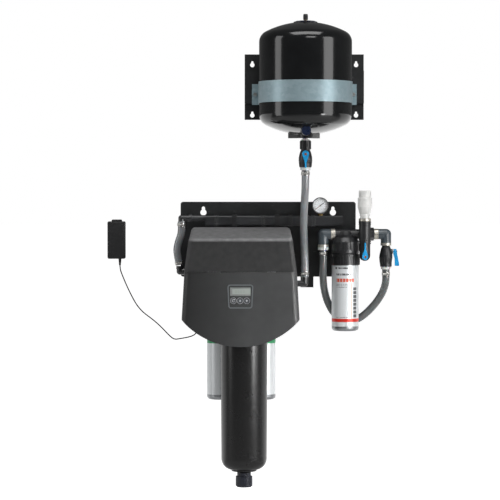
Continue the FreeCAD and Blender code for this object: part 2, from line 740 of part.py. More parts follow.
INLET_HOSE = [(-266, -58, -27.2), (-266, -58, -64), (-276, -60.5, -92), (-280.5, -61.5, -116),
              (-277, -61, -138), (-272.6, -60, -159.8)]
node(tube(INLET_HOSE, d.hose_r, d.hose_bore, "inlet hose"), "inlet_hose")
lower_run = V(4.4, 1, -21.8)
hose_clamps.append(hose_clamp(-266, -58, -37))
hose_clamps.append(hose_clamp(-273.8, -60.3, -153.8, FreeCAD.Rotation(V(0, 0, -1), lower_run)))
feed_z = -180
feed_elbow = elbow(16.5, 25, 10.2, 5.5, flange=1.2)
elbows.append(place(feed_elbow, -271, -60, feed_z))

# ---- feed solenoid valve behind the cover ------------------------------------------------------

solenoid_x = -223
solenoid_body = cut(solid_box(-245.8, -78, -198, -200, -42, -162),
                    rod(5.5, 60, -250, -60, feed_z, RIGHTWARD),
                    rod(8.1, 30, solenoid_x, -60, feed_z, UPRIGHT))
solenoid_block = soften(solenoid_body, 2, lambda edge: along(edge, 2))
coil = place(ring(8.2, 17, 0, 30), solenoid_x, -60, -161.9)
node(group(solenoid_block, coil), "solenoid_valve")
plunger = lathe([(0, 0), (8, 0), (8, 38), (0, 38)])
node(place(plunger, solenoid_x, -60, -174), "solenoid_plunger")

# ================================================================================================
# Pressure gauge
# ================================================================================================

gauge_z = 21.9
gauge_back = -54


def on_gauge(piece, spin=0):
    """Put a piece of the gauge in front of its back plate, spun about the dial's centre."""
    turn = FORWARD.multiply(FreeCAD.Rotation(V(0, 0, 1), spin))
    return place(piece, gauge_x, gauge_back, gauge_z, turn)


case_cup = on_gauge(lathe([(0, 0), (24, 0), (25, 1), (25, 18), (23.4, 18), (23.4, 1.6), (0, 1.6)]))
stem_hole = rod(5, 30, gauge_x, gauge_y, gauge_z - 20, DOWNWARD)
bezel = on_gauge(ring(22, 25, 17.9, 20.6))
stem = fuse(place(plate(hexagon(8.2), 6.6), gauge_x, gauge_y, -9.4),
            rod(5, 16.4, gauge_x, gauge_y, -18))
node(cut(fuse(cut(case_cup, stem_hole), bezel, stem), rod(2, 40, gauge_x, gauge_y, -20)),
     "gauge_case")
node(on_gauge(lathe([(0, 16.4), (23.2, 16.4), (23.2, 17.8), (0, 17.8)])), "gauge_lens")
node(on_gauge(ring(1.3, 23.2, 11, 11.7)), "gauge_dial")
pointer_blade = plate([(18.6, -0.35), (18.6, 0.35), (0, 1.1), (-12.6, 1.2), (-12.6, -1.2),
                       (0, -1.1)], 0.8)
place(pointer_blade, 0, 0, 12.6)
pointer = fuse(pointer_blade, rod(2.4, 1.6, 0, 0, 12.6), rod(1.1, 6, 0, 0, 7))
node(on_gauge(pointer, 216.7), "gauge_pointer")

# ================================================================================================
# Filter heads, locking collars and cartridges
# ================================================================================================

head_spots = {"filter_one": d.head_one_x, "filter_two": d.head_one_x + d.head_pitch,
              "remineralizer": d.remin_x}
port_reach = {"filter_one": (-48, 63.5), "filter_two": (-63.5, 48), "remineralizer": (-30, 40)}
cartridge_low = {"filter_one": d.can_low, "filter_two": d.can_low, "remineralizer": d.remin_low}


def filter_head(x, left_reach, right_reach):
    """A moulded head: a socket for the cartridge below, ports to each side, an arm to the plate."""
    socket_r = d.nozzle_r + 0.15
    bonnet = lathe([
        (0, d.head_top), (20, d.head_top), (24, -66), (35, -75), (42.5, -88), (42.5, -121),
        (41, -125),
        (socket_r, -125), (socket_r, -71), (0, -71)])
    place(bonnet, x, d.head_y, 0)
    ports = rod(15, right_reach - left_reach, x + left_reach, d.head_y, d.port_z, RIGHTWARD)
    arm = solid_box(x - 22, -70, -118, x + 22, -3, -86)
    ribs = [solid_box(x + step - 1.5, -137, -112, x + step + 1.5, -125, -84)
            for step in (-14, 0, 14)]
    channel = rod(6, right_reach - left_reach + 20, x + left_reach - 10, d.head_y, d.port_z,
                  RIGHTWARD)
    socket = rod(socket_r, 54, x, d.head_y, -125)
    seat = rod(16.3, 20, x + left_reach, d.head_y, d.port_z, LEFTWARD)
    far_seat = rod(16.3, 20, x + right_reach, d.head_y, d.port_z, RIGHTWARD)
    return cut(fuse(bonnet, ports, arm, *ribs), channel, socket, seat, far_seat)


def locking_collar():
    """A ribbed collar that turns on the head and grips the cartridge's shoulder."""
    collar = doc.addObject("PartDesign::Body", unique("Collar"))
    tall = d.collar_top - 0.3 - d.collar_low
    sleeve_sketch = new_sketch(collar, "XY_Plane",
                               circles=[(0, 0, d.collar_r - 1.2), (0, 0, d.can_r + 0.7)])
    sleeve = collar.newObject("PartDesign::Pad", unique("Sleeve"))
    sleeve.Profile = sleeve_sketch
    bind(sleeve, Length=tall)
    ridge_sketch = new_sketch(collar, "XY_Plane",
                              [rectangle(d.collar_r - 2, -1.6, d.collar_r, 1.6)])
    ridge = collar.newObject("PartDesign::Pad", unique("Ridge"))
    ridge.Profile = ridge_sketch
    bind(ridge, Length=tall - 3)
    doc.recompute()
    ridges = collar.newObject("PartDesign::PolarPattern", unique("Ridges"))
    ridges.Originals = [ridge]
    ridges.Axis = (sleeve_sketch, ["N_Axis"])
    ridges.Angle = 360
    ridges.Occurrences = 32
    collar.Tip = ridges
    return collar


def cartridge(low):
    """A sealed filter cartridge: a nozzle that enters the head and a drawn can below it."""
    nozzle = d.nozzle_r - 0.2
    corner = 9.6
    wall = 1.5
    return lathe([
        (6, -76), (nozzle, -76), (nozzle, -129), (d.can_r - 2, -129), (d.can_r, -131),
        (d.can_r, low + corner), (d.can_r - corner, low, -corner), (0, low), (0, low + wall),
        (d.can_r - corner, low + wall), (d.can_r - wall, low + corner, corner - wall),
        (d.can_r - wall, -132), (15, -132), (15, -118), (6, -118)])


heads = []
for name, x in head_spots.items():
    heads.append(filter_head(x, *port_reach[name]))
    node(place(locking_collar(), x, d.head_y, d.collar_low), name + "_collar")
    node(place(cartridge(cartridge_low[name]), x, d.head_y, 0), name + "_cartridge")
node(group(*heads), "filter_heads")

# ================================================================================================
# Membrane housing
# ================================================================================================

ro_head = lathe([(0, -152), (60, -152), (70, -162), (70, -218.5), (66.1, -218.5), (66.1, -228),
                 (11, -228), (11, -200), (0, -200)])
place(ro_head, d.ro_x, d.ro_y, 0)
ro_arm = solid_box(-99, -145, -192, -65, -3, -166)
node(fuse(ro_head, ro_arm), "membrane_head")
node(place(ring(71.9, 74.5, -240, -197), d.ro_x, d.ro_y, 0), "membrane_lock_ring")
bowl_end = -736
bowl = lathe([
    (6, -800), (10, -800), (10, -778), (30, -774), (38, -774), (38, d.ro_low),
    (d.ro_low_r, bowl_end, 34), (d.ro_r, -219), (d.ro_r - d.ro_wall, -219),
    (d.ro_low_r - d.ro_wall, bowl_end), (36, -763, -29), (6, -763)])
node(place(bowl, d.ro_x, d.ro_y, 0), "membrane_bowl")
membrane = lathe([(8, -748), (50, -748), (50, -242), (10.7, -242), (10.7, -204), (8, -204)])
node(place(membrane, d.ro_x, d.ro_y, 0), "membrane_element")
drain_nut = lathe([(10.3, -778.6), (21, -778.6), (21, -790), (25.3, -790), (25.3, -816), (22, -822),
                   (0, -822), (0, -806), (10.3, -806)])
node(place(drain_nut, d.ro_x, d.ro_y, 0), "membrane_drain_nut")

# ================================================================================================
# Cover: hood above, display panel below
# ================================================================================================

panel_gap = 0.4


def prism(outline, length, x, y, z, turn):
    """An outline extruded and put in place."""
    return place(plate(outline, length), x, y, z, turn)


def hood_block(inset, bottom):
    """The hood's form as a block, shrunk on its sides, front and roof by the inset."""
    front = prism([
        (-d.half_seam + inset, bottom), (d.half_seam - inset, bottom),
        (149.5 - inset, d.roof_back - inset), (-149.5 + inset, d.roof_back - inset)],
        d.cover_front + 20, d.cover_x, 0, 0, FORWARD)
    side = prism([
        (d.cover_back - inset, bottom), (d.cover_front - inset, bottom),
        (d.cover_front - 6 - inset, d.roof_front - inset), (d.cover_back - inset, d.roof_back - inset)],
        400, d.cover_x + 200, 0, 0, SIDEWAYS)
    return common(front, side)


def is_hood_edge(edge):
    """The hood's front uprights and the edges of its roof."""
    box = edge.BoundBox
    upright = box.ZLength > 60 and box.YMin < -250
    brow = box.XLength > 250 and box.YMin < -250 and box.ZMin > -100
    eave = box.YLength > 100 and box.ZMin > -100
    return upright or brow or eave


hood_outer = soften(hood_block(0, d.seam_z + panel_gap), 13, is_hood_edge)
hood_inner = soften(hood_block(d.cover_wall, d.seam_z - 10), 10, is_hood_edge)
node(cut(hood_outer, hood_inner), "cover_hood")

arc_drop = d.corner_z - d.cover_low
arc_r = (d.half_corner * d.half_corner + arc_drop * arc_drop) / (arc_drop * 2)


def is_panel_edge(edge):
    """The panel's two front uprights."""
    box = edge.BoundBox
    return box.ZLength > 100 and box.XLength < 30 and box.YMin < -250


def panel_front(inset, low):
    """The panel's front outline: tapered sides and a round chin, or an open bottom."""
    top = d.seam_z - panel_gap + (20 if low else 0)
    sides = [(d.half_seam - inset, top), (-d.half_seam + inset, top)]
    if low:
        return [(-d.half_corner + inset, low), (d.half_corner - inset, low)] + sides
    return [(-d.half_corner, d.corner_z), (0, d.cover_low, arc_r),
            (d.half_corner, d.corner_z, arc_r)] + sides


deep = d.cover_front - d.cover_back
panel_outer = soften(prism(panel_front(0, None), deep, d.cover_x, -d.cover_back, 0, FORWARD), 20,
                     is_panel_edge)
panel_inner = soften(
    prism(panel_front(d.cover_wall, -420), deep - d.cover_wall + 10, d.cover_x,
          -d.cover_back + 10, 0, FORWARD), 17, is_panel_edge)
display_x = -84.6
window = solid_box(display_x - 30.5, -300, -243.2, display_x + 30.5, -280, -218.6)
button_z = -258
button_spots = {"button_menu": -105.2, "button_down": -85.4, "button_up": -65.6}
button_holes = [rod(8.8, 30, x, -275, button_z, FORWARD) for x in button_spots.values()]
bezel_top = 38.5
bezel_low = 35.5
bezel_outline = [(-bezel_low, -35.5), (bezel_low, -35.5), (bezel_top, 35.5), (-bezel_top, 35.5)]
bezel_hole = [(-bezel_low + 3.5, -32), (bezel_low - 3.5, -32), (bezel_top - 3.5, 32),
              (-bezel_top + 3.5, 32)]
bezel_block = soften(prism(bezel_outline, 3, display_x, -d.cover_front + 0.5, -245.5, FORWARD), 8,
                     lambda edge: along(edge, 1))
bezel_space = soften(prism(bezel_hole, 6, display_x, -d.cover_front + 2, -245.5, FORWARD), 5,
                     lambda edge: along(edge, 1))
rim = cut(bezel_block, bezel_space)
node(cut(fuse(cut(panel_outer, panel_inner), rim), window, *button_holes), "cover_panel")

node(solid_box(display_x - 30.2, -289.2, -242.9, display_x + 30.2, -286.9, -218.9),
     "display_screen")
board = solid_box(display_x - 36, -284.4, -279, display_x + 36, -282.8, -213)
node(board, "display_board")
for name, x in button_spots.items():
    cap = lathe([(0, 0), (9.6, 0), (9.6, 1), (8.5, 1), (8.5, 4.6), (7.7, 5.4), (0, 5.6)])
    node(place(cap, x, -285.8, button_z, FORWARD), name)

# ---- control box behind the cover, which takes the cord ----------------------------------------

control = soften(solid_box(-246, -76, -345, -196, -20, -215), 4, lambda edge: along(edge, 2))
hanger_strip = solid_box(-236, -20, -300, -206, -17, -150)
hanger_foot = solid_box(-236, -20, -160, -206, -3, -150)
cord_start_x = -216
cord_start_y = -52
control_holes = [rod(6.1, 12, cord_start_x, cord_start_y, -350)]
node(cut(fuse(control, hanger_strip, hanger_foot), *control_holes), "control_box")

# ================================================================================================
# Outlet branch at the right: elbows, tee, check valve, bypass valve, outlet valve, loop hose
# ================================================================================================

pipe_z = d.port_z
pipe_r = 16
pipe_drop = 40
elbows.append(place(elbow(pipe_drop, 36.9, pipe_r, 7), d.elbow_x, d.head_y, pipe_z, DOWNWARD))
elbows.append(place(elbow(35, 36.8, pipe_r, 7), d.outlet_x, d.head_y, pipe_z, OVER_LEFT))

tee_low = -90
tee_top = -17
tee_y = d.head_y - 32
tee = fuse(rod(18, tee_top - tee_low, d.tee_x, tee_y, tee_low),
           rod(13, 32, d.tee_x, tee_y, pipe_z, BACKWARD),
           rod(15, 35, d.tee_x - 17.9, d.head_y, pipe_z, RIGHTWARD),
           place(plate(hexagon(20), 12), d.tee_x + 17, d.head_y, pipe_z, RIGHTWARD))
node(cut(tee, rod(7, 100, d.tee_x - 30, d.head_y, pipe_z, RIGHTWARD),
         rod(5, 32, d.tee_x, tee_y, pipe_z, BACKWARD),
         rod(8, 100, d.tee_x, tee_y, tee_low - 5)), "outlet_tee")

check_body = lathe([
    (7, -16.9), (14, -16.9), (14, -9), (15.5, -9), (15.5, -3), (17, 0), (21.5, 18), (21.5, 44),
    (18.6, 47), (18.6, 66), (17, 67.9), (0, 67.9), (0, 64.5), (15, 64.5), (15, 2), (7, -4)])
node(place(check_body, d.tee_x, tee_y, 0), "check_valve_body")
poppet = lathe([(0, 4), (9, 4), (13.5, 8.5), (13.5, 15), (9, 15), (9, 17), (3, 18), (3, 42), (0, 42)])
node(place(poppet, d.tee_x, tee_y, 0), "check_valve_poppet")

bypass_z = -132.5
bypass_shell = lathe([(0, -146), (16.5, -129.5, 16.5), (16.5, tee_low - 0.1),
                      (0, tee_low - 0.1)])
place(bypass_shell, d.tee_x, tee_y, 0)
node(cut(fuse(bypass_shell, rod(8, 18.5, d.tee_x, tee_y, bypass_z, FORWARD)),
         ball(d.ball_r + 0.05, d.tee_x, tee_y, bypass_z),
         rod(d.ball_bore, 50, d.tee_x, tee_y, bypass_z),
         rod(4.05, 40, d.tee_x, tee_y, bypass_z, FORWARD)), "bypass_valve_body")
TAIL_UP = FORWARD.multiply(FreeCAD.Rotation(V(0, 0, 1), 180))
bypass_lever = [place(valve_ball(22), d.tee_x, tee_y, bypass_z),
                place(teardrop(9, 2.2, 42.5, 5.5, 2.1), d.tee_x, tee_y - 22, bypass_z, TAIL_UP),
                place(lever_screw(3.4, 4), d.tee_x, tee_y - 27.5, bypass_z, FORWARD)]
node(group(*bypass_lever), "bypass_valve_lever")

outlet_z = -118
outlet_body = valve_body(17.8, -46, 12, -15, 20, 18)
node(place(outlet_body, d.outlet_x, d.head_y, outlet_z, TO_RIGHT), "outlet_valve_body")
lever_blank = place(teardrop(8, 4, 44, 24, 2.1), 378.9, d.head_y, outlet_z, FACE_RIGHT)
lever_side = prism([(380.5, -109), (390, -109), (391.5, -122), (398.5, -156), (398, -163),
                    (385, -163), (384.5, -140), (380.5, -126)], 60, 0, d.head_y + 30, 0, FORWARD)
outlet_lever = [place(valve_ball(22.4), d.outlet_x, d.head_y, outlet_z, TO_RIGHT),
                common(lever_blank, lever_side),
                place(lever_screw(3.4, 4), 390.6, d.head_y, outlet_z, RIGHTWARD)]
node(group(*outlet_lever), "outlet_valve_lever")

spigots.append(place(hose_barb(16.5), d.elbow_x, d.head_y, pipe_z - pipe_drop - 0.1))
spigots.append(place(hose_barb(15.3), d.outlet_x, d.head_y, outlet_z - 46.1))
hose_clamps.append(hose_clamp(d.elbow_x, d.head_y, -124))
hose_clamps.append(hose_clamp(d.outlet_x, d.head_y, -186))
LOOP_HOSE = [(167, -95, -113.2), (167, -95, -150), (166.5, -88, -190), (169.5, -73, -231),
             (180, -56, -271), (199, -42, -307), (225, -36, -331), (256, -36, -337),
             (286, -39, -322), (313, -46, -298), (336, -57, -269), (351, -75, -241),
             (358, -95, -212), (358, -95, -172.2)]
node(tube(LOOP_HOSE, d.hose_r, d.hose_bore, "loop hose"), "loop_hose")

node(group(*hose_clamps), "hose_clamps")
node(group(*spigots), "hose_spigots")
node(group(*elbows), "hose_elbows")

# ================================================================================================
# Power adapter, its cord and the gland
# ================================================================================================

adapter_left = d.adapter_x - d.adapter_wide / 2
adapter_right = d.adapter_x + d.adapter_wide / 2
adapter_case = soften(solid_box(adapter_left, -48, d.adapter_low, adapter_right, -18,
                                d.adapter_low + d.adapter_tall), 5, lambda edge: True)
adapter_brow = soften(solid_box(adapter_left + 13, -44, -32, adapter_right - 11, -22, -21.4), 3,
                      lambda edge: along(edge, 1))
relief_x = -456.3
relief_y = -33
relief = cone(2.6, 4.6, 24, relief_x, relief_y, d.adapter_low - 20)
node(fuse(adapter_case, adapter_brow, relief), "adapter_case")
blades = [solid_box(d.adapter_x + step - 0.75, -18, -93, d.adapter_x + step + 0.75, -1, -86.7)
          for step in (-6.35, 6.35)]
node(group(*blades), "adapter_blades")

gland = lathe([(0, -354), (4, -354), (7.5, -352), (9.5, -350), (9.5, -345), (6, -345), (6, -339),
               (0, -339)])
node(place(gland, cord_start_x, cord_start_y, 0), "cord_gland")
POWER_CORD = [(-216, -52, -354), (-219, -53, -368), (-231, -54.5, -378), (-250, -55, -383),
              (-270, -55, -386.5), (-289, -54, -389.5), (-304, -53, -377), (-321, -52, -359),
              (-340, -50, -340.5), (-361, -48, -323.5), (-384, -45, -307), (-403, -43, -286),
              (-417, -41, -262), (-429, -39, -238), (-440, -37, -214), (-450, -35, -190),
              (-455.5, -33.5, -175), (-456.3, -33, -162)]
node(tube(POWER_CORD, d.cord_r, None, "power cord"), "power_cord")



# ================================================================================================
# Check every object and write the pieces
# ================================================================================================

doc.recompute()
for obj in doc.Objects:
    if "Invalid" in obj.State or "Error" in obj.State:
        raise RuntimeError("%s (%s) failed: %s" % (obj.Name, obj.Label, obj.State))
for name, obj in PIECES.items():
    if obj.Shape.isNull() or not obj.Shape.isValid() or not obj.Shape.Solids:
        raise RuntimeError("%s has no valid solid" % name)

os.makedirs("parts", exist_ok=True)
for name, obj in PIECES.items():
    obj.Shape.exportStep(os.path.join("parts", name + ".step"))
print("%d pieces written" % len(PIECES))
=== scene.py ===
"""The looks of a wall-hung reverse osmosis unit: its finishes, small fittings, cord and studio.

Every size is in metres, in the frame of the part: X right, Y into the wall and Z up, from the
point midway between the back plate's two keyholes.
"""

from __future__ import annotations

import logging
import math
from dataclasses import dataclass, field
from enum import Enum
from typing import Any, Sequence, Union

import bmesh
import bpy
from mathutils import Matrix, Vector

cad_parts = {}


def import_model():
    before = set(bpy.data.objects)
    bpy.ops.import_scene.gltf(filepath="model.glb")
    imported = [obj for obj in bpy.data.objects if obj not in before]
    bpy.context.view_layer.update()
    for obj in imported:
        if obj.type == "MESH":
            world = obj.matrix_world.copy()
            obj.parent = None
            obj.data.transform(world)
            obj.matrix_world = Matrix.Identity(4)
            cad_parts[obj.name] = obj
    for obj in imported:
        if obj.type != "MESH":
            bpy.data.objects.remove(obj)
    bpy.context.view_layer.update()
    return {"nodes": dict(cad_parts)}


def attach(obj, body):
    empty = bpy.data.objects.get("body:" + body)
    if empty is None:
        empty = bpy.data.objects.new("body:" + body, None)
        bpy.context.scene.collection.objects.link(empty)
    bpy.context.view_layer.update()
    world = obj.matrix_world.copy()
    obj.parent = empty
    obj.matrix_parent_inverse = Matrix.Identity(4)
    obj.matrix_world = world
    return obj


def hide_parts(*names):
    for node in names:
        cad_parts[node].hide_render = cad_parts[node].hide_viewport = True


log = logging.getLogger("reverse_osmosis_unit")

Colour = tuple[float, float, float]
Point = tuple[float, float, float]
Varying = Union["Expr", float]


class Way(Enum):
    """The row direction that a turned or raised piece grows in."""

    UP = Vector((0, 0, 1))
    DOWN = Vector((0, 0, -1))
    RIGHT = Vector((1, 0, 0))
    LEFT = Vector((-1, 0, 0))
    OUT = Vector((0, -1, 0))


class Axis(Enum):
    """One of the three row axes, by its place in a point."""

    X = 0
    Y = 1
    Z = 2


# ---- shader expressions --------------------------------------------------------------------------


class Expr:
    """A number that varies over a surface. Python's operators on it add Math nodes."""

    def __init__(self, shader: Shader, socket: bpy.types.NodeSocket) -> None:
        """Wrap a socket.

        Args:
            shader: The shader that the socket belongs to.
            socket: The output that carries the number.
        """
        self.shader = shader
        self.socket = socket

    def math(self, operation: str, *values: Varying, clamp: bool = False) -> Expr:
        """Add one Math node.

        Args:
            operation: The node's operation.
            values: Its inputs, in order.
            clamp: Whether the result is kept between 0 and 1.

        Returns:
            The node's result.
        """
        node = self.shader.add("ShaderNodeMath", {"operation": operation, "use_clamp": clamp},
                               dict(enumerate(values)))
        return Expr(self.shader, node.outputs[0])

    def __add__(self, other: Varying) -> Expr:
        """Return the sum."""
        return self.math("ADD", self, other)

    __radd__ = __add__

    def __sub__(self, other: Varying) -> Expr:
        """Return the difference."""
        return self.math("SUBTRACT", self, other)

    def __rsub__(self, other: Varying) -> Expr:
        """Return a number less this one."""
        return self.math("SUBTRACT", other, self)

    def __mul__(self, other: Varying) -> Expr:
        """Return the product."""
        return self.math("MULTIPLY", self, other)

    __rmul__ = __mul__

    def __abs__(self) -> Expr:
        """Return the size without its sign."""
        return self.math("ABSOLUTE", self)

    def fraction(self) -> Expr:
        """Return what is left above the whole number below."""
        return self.math("FRACT", self)

    def angle(self, other: Expr) -> Expr:
        """Return the angle whose opposite side is this and whose adjacent side is other."""
        return self.math("ARCTAN2", self, other)

    def both(self, other: Varying) -> Expr:
        """Return the smaller of two masks, which is where both hold."""
        return self.math("MINIMUM", self, other)

    def either(self, other: Varying) -> Expr:
        """Return the larger of two masks, which is where either holds."""
        return self.math("MAXIMUM", self, other)

    def above(self, edge: Varying, soft: float = 0.0002) -> Expr:
        """Make a mask of where the number passes an edge.

        Args:
            edge: The value at the middle of the step.
            soft: How far the step is spread.

        Returns:
            0 below the edge and 1 above it.
        """
        return self.math("MULTIPLY_ADD", self - edge, 1 / soft, 0.5, clamp=True)

    def within(self, low: float, high: float, soft: float = 0.0002) -> Expr:
        """Make a mask of where the number lies between two edges.

        Args:
            low: The lower edge.
            high: The upper edge.
            soft: How far each step is spread.

        Returns:
            1 between the edges and 0 outside them.
        """
        middle, half = (low + high) / 2, (high - low) / 2
        return 1 - abs(self - middle).above(half, soft)


class Shader:
    """One material's node tree, ending in a Principled shader."""

    def __init__(self, name: str, world: bpy.types.World | None = None) -> None:
        """Start a material, or the air of a world.

        Args:
            name: The material's name.
            world: The world whose air it is, or None for a material.
        """
        self.material = world or bpy.data.materials.new(name)
        self.material.use_nodes = True
        self.tree = self.material.node_tree
        self.surface = self.tree.nodes["Background" if world else "Principled BSDF"]
        self._place: list[Expr] = []

    def add(self, kind: str, settings: dict[str, Any] | None = None,
            inputs: dict[Union[str, int], Any] | None = None) -> bpy.types.Node:
        """Add a node, set it up and feed it.

        Args:
            kind: The node's type.
            settings: The node's own settings.
            inputs: The values or links of its sockets, by name or by place.

        Returns:
            The node.
        """
        node = self.tree.nodes.new(kind)
        for key, value in (settings or {}).items():
            setattr(node, key, value)
        for key, value in (inputs or {}).items():
            self.feed(node.inputs[key], value)
        return node

    def feed(self, socket: bpy.types.NodeSocket, value: Any) -> None:
        """Give a socket a link, a number, a colour or a vector.

        Args:
            socket: The input to feed.
            value: An expression, a socket, a number, or the three parts of a colour or vector.
        """
        if isinstance(value, Expr):
            value = value.socket
        if isinstance(value, bpy.types.NodeSocket):
            self.tree.links.new(value, socket)
        elif socket.type == "RGBA":
            socket.default_value = (*value, 1)
        else:
            socket.default_value = value

    def place(self) -> list[Expr]:
        """Return the X, Y and Z of the surface point, in the frame of the part."""
        if not self._place:
            where = self.add("ShaderNodeTexCoord").outputs["Object"]
            parts = self.add("ShaderNodeSeparateXYZ", inputs={0: where}).outputs
            self._place = [Expr(self, part) for part in parts]
        return self._place

    def stretched(self, scale: Point) -> bpy.types.NodeSocket:
        """Return the surface point with each axis scaled, for grain that runs one way."""
        where = self.add("ShaderNodeTexCoord").outputs["Object"]
        return self.add("ShaderNodeVectorMath", {"operation": "MULTIPLY"},
                        {0: where, 1: scale}).outputs[0]

    def noise(self, scale: Union[float, Point], detail: float = 3.0, rough: float = 0.5) -> Expr:
        """Add cloudy noise.

        Args:
            scale: Features in a metre, along all axes or along each.
            detail: Octaves of finer noise.
            rough: How strong the finer noise is.

        Returns:
            A number around 0.5.
        """
        point = (scale,) * 3 if isinstance(scale, (int, float)) else scale
        node = self.add("ShaderNodeTexNoise", inputs={
            "Vector": self.stretched(point), "Scale": 1.0, "Detail": detail, "Roughness": rough})
        return Expr(self, node.outputs[0])

    def speckle(self, scale: float) -> bpy.types.Node:
        """Add cells, this many in a metre."""
        return self.add("ShaderNodeTexVoronoi", inputs={
            "Vector": self.stretched((scale,) * 3), "Scale": 1.0})

    def cells(self, scale: float) -> Expr:
        """Return the distance to the nearest cell's middle."""
        return Expr(self, self.speckle(scale).outputs["Distance"])

    def facets(self, scale: float) -> Expr:
        """Return one random number for each cell."""
        parts = self.add("ShaderNodeSeparateColor",
                         inputs={0: self.speckle(scale).outputs["Color"]})
        return Expr(self, parts.outputs[0])

    def mix(self, factor: Varying, first: Any, second: Any) -> bpy.types.NodeSocket:
        """Mix two colours.

        Args:
            factor: 0 for the first and 1 for the second.
            first: A colour or a socket.
            second: A colour or a socket.

        Returns:
            The mixed colour.
        """
        node = self.add("ShaderNodeMix", {"data_type": "RGBA"}, {0: factor, 6: first, 7: second})
        return node.outputs[2]

    def far(self, centre: Point, axis: Axis | None = None) -> Expr:
        """Measure how far the surface point is from a centre, or from an axis through it.

        Args:
            centre: The centre.
            axis: The row axis to measure from, or None to measure from the centre.

        Returns:
            The distance, in metres.
        """
        keep = [0.0 if axis and axis.value == i else 1.0 for i in range(3)]
        flat = [c * k for c, k in zip(centre, keep)]
        node = self.add("ShaderNodeVectorMath", {"operation": "DISTANCE"},
                        {0: self.stretched(tuple(keep)), 1: flat})
        return Expr(self, node.outputs["Value"])

    def finish(self, colour: Any, roughness: Varying, metallic: Varying, height: Expr | None,
               extras: dict[str, Any]) -> bpy.types.Material:
        """Feed the Principled shader.

        Args:
            colour: The base colour.
            roughness: How rough it is.
            metallic: How metallic it is.
            height: The relief, in metres, if there is one.
            extras: The shader's other sockets, each the same all over.

        Returns:
            The material.
        """
        inputs = self.surface.inputs
        self.feed(inputs["Base Color"], colour)
        self.feed(inputs["Roughness"], roughness)
        self.feed(inputs["Metallic"], metallic)
        if height is not None:
            relief = self.add("ShaderNodeBump", inputs={
                "Strength": 1.0, "Distance": 1.0, "Height": height})
            self.feed(inputs["Normal"], relief.outputs[0])
        for name, value in extras.items():
            self.feed(inputs[name], value)
        return self.material


# ---- finishes ------------------------------------------------------------------------------------


@dataclass(frozen=True)
class Finish:
    """A moulded plastic surface: its colour in slow patches, its fine grain and handling marks."""

    name: str
    colour: Colour
    roughness: float = 0.5
    metallic: float = 0.0
    patches: float = 0.14
    patch_scale: float = 22.0
    grain_scale: float = 1300.0
    grain_height: float = 0.000015
    marks: float = 0.1
    extras: tuple[tuple[str, Any], ...] = ()

    def tint(self, shader: Shader) -> Any:
        """Return the base colour, a little lighter and darker in slow patches."""
        cloud = shader.noise(self.patch_scale, 4.0).within(0.52, 1.5, 0.35)
        light = tuple(min(1.0, c * (1 + self.patches) + self.patches * 0.01) for c in self.colour)
        dark = tuple(c * (1 - self.patches) for c in self.colour)
        return shader.mix(cloud, dark, light)

    def gloss(self, shader: Shader) -> Varying:
        """Return the roughness, with smudges where hands have been."""
        smudge = shader.noise(self.patch_scale * 2.3, 5.0, 0.6)
        return self.roughness + (smudge - 0.5) * (self.marks * 2)

    def metal(self, shader: Shader) -> Varying:
        """Return how metallic the surface is."""
        return self.metallic

    def relief(self, shader: Shader) -> Expr:
        """Return the fine grain of the mould."""
        return shader.noise(self.grain_scale, 2.0) * self.grain_height

    def make(self) -> bpy.types.Material:
        """Build the material."""
        shader = Shader(self.name)
        return shader.finish(self.tint(shader), self.gloss(shader), self.metal(shader),
                             self.relief(shader), dict(self.extras))


@dataclass(frozen=True)
class TankPaint(Finish):
    """Deep gloss enamel over pressed steel, with a faint orange peel and settled dust."""

    peel_scale: float = 210.0

    def relief(self, shader: Shader) -> Expr:
        """Return orange peel with long slow waves from the pressing."""
        return (shader.noise(self.peel_scale, 1.0) * self.grain_height
                + shader.noise(9.0, 1.0) * (self.grain_height * 6))

    def gloss(self, shader: Shader) -> Varying:
        """Return the roughness, raised by specks of dust."""
        dust = 1 - shader.cells(650.0).above(0.07, 0.04)
        return dust * 0.25 + (self.roughness + (shader.noise(40.0, 4.0) - 0.5) * self.marks)


@dataclass(frozen=True)
class PlatePaint(Finish):
    """Satin powder coat on folded sheet, worn to paler grey at its scuffs."""

    scuff: Colour = (0.16, 0.16, 0.17)

    def tint(self, shader: Shader) -> Any:
        """Return the coat's colour with thin scuffs."""
        lines = shader.noise((30.0, 30.0, 420.0), 2.0).above(0.72, 0.06)
        spots = shader.noise(55.0, 3.0).above(0.56, 0.1)
        return shader.mix(lines.both(spots) * 0.5, super().tint(shader), self.scuff)


@dataclass(frozen=True)
class BrushedMetal(Finish):
    """Metal drawn or brushed along one way, with fine lines and stains."""

    lines: Point = (6.0, 6.0, 1500.0)
    stain: Colour = (0.25, 0.25, 0.26)
    stained: float = 0.35
    streaks: float = 0.25

    def tint(self, shader: Shader) -> Any:
        """Return the metal's colour with streaks along the brushing and soft stains."""
        streak = shader.noise(self.lines, 3.0)
        worn = tuple(c * (1 - self.streaks) for c in self.colour)
        brushed = shader.mix(streak, worn, self.colour)
        return shader.mix(shader.noise(14.0, 4.0).above(0.56, 0.3) * self.stained, brushed,
                          self.stain)

    def gloss(self, shader: Shader) -> Varying:
        """Return the roughness, which varies along the brushing."""
        return self.roughness + (shader.noise(self.lines, 2.0) - 0.5) * 0.3

    def relief(self, shader: Shader) -> Expr:
        """Return the fine lines of the brushing."""
        return shader.noise(self.lines, 2.0) * self.grain_height


@dataclass(frozen=True)
class Galvanised(BrushedMetal):
    """Hot-dipped band steel: bluish zinc flakes under faint roll lines."""

    flakes: float = 95.0
    flake_tint: Colour = (0.62, 0.7, 0.8)

    def tint(self, shader: Shader) -> Any:
        """Return the streaked zinc with its flakes."""
        return shader.mix(shader.facets(self.flakes) * 0.12, super().tint(shader), self.flake_tint)


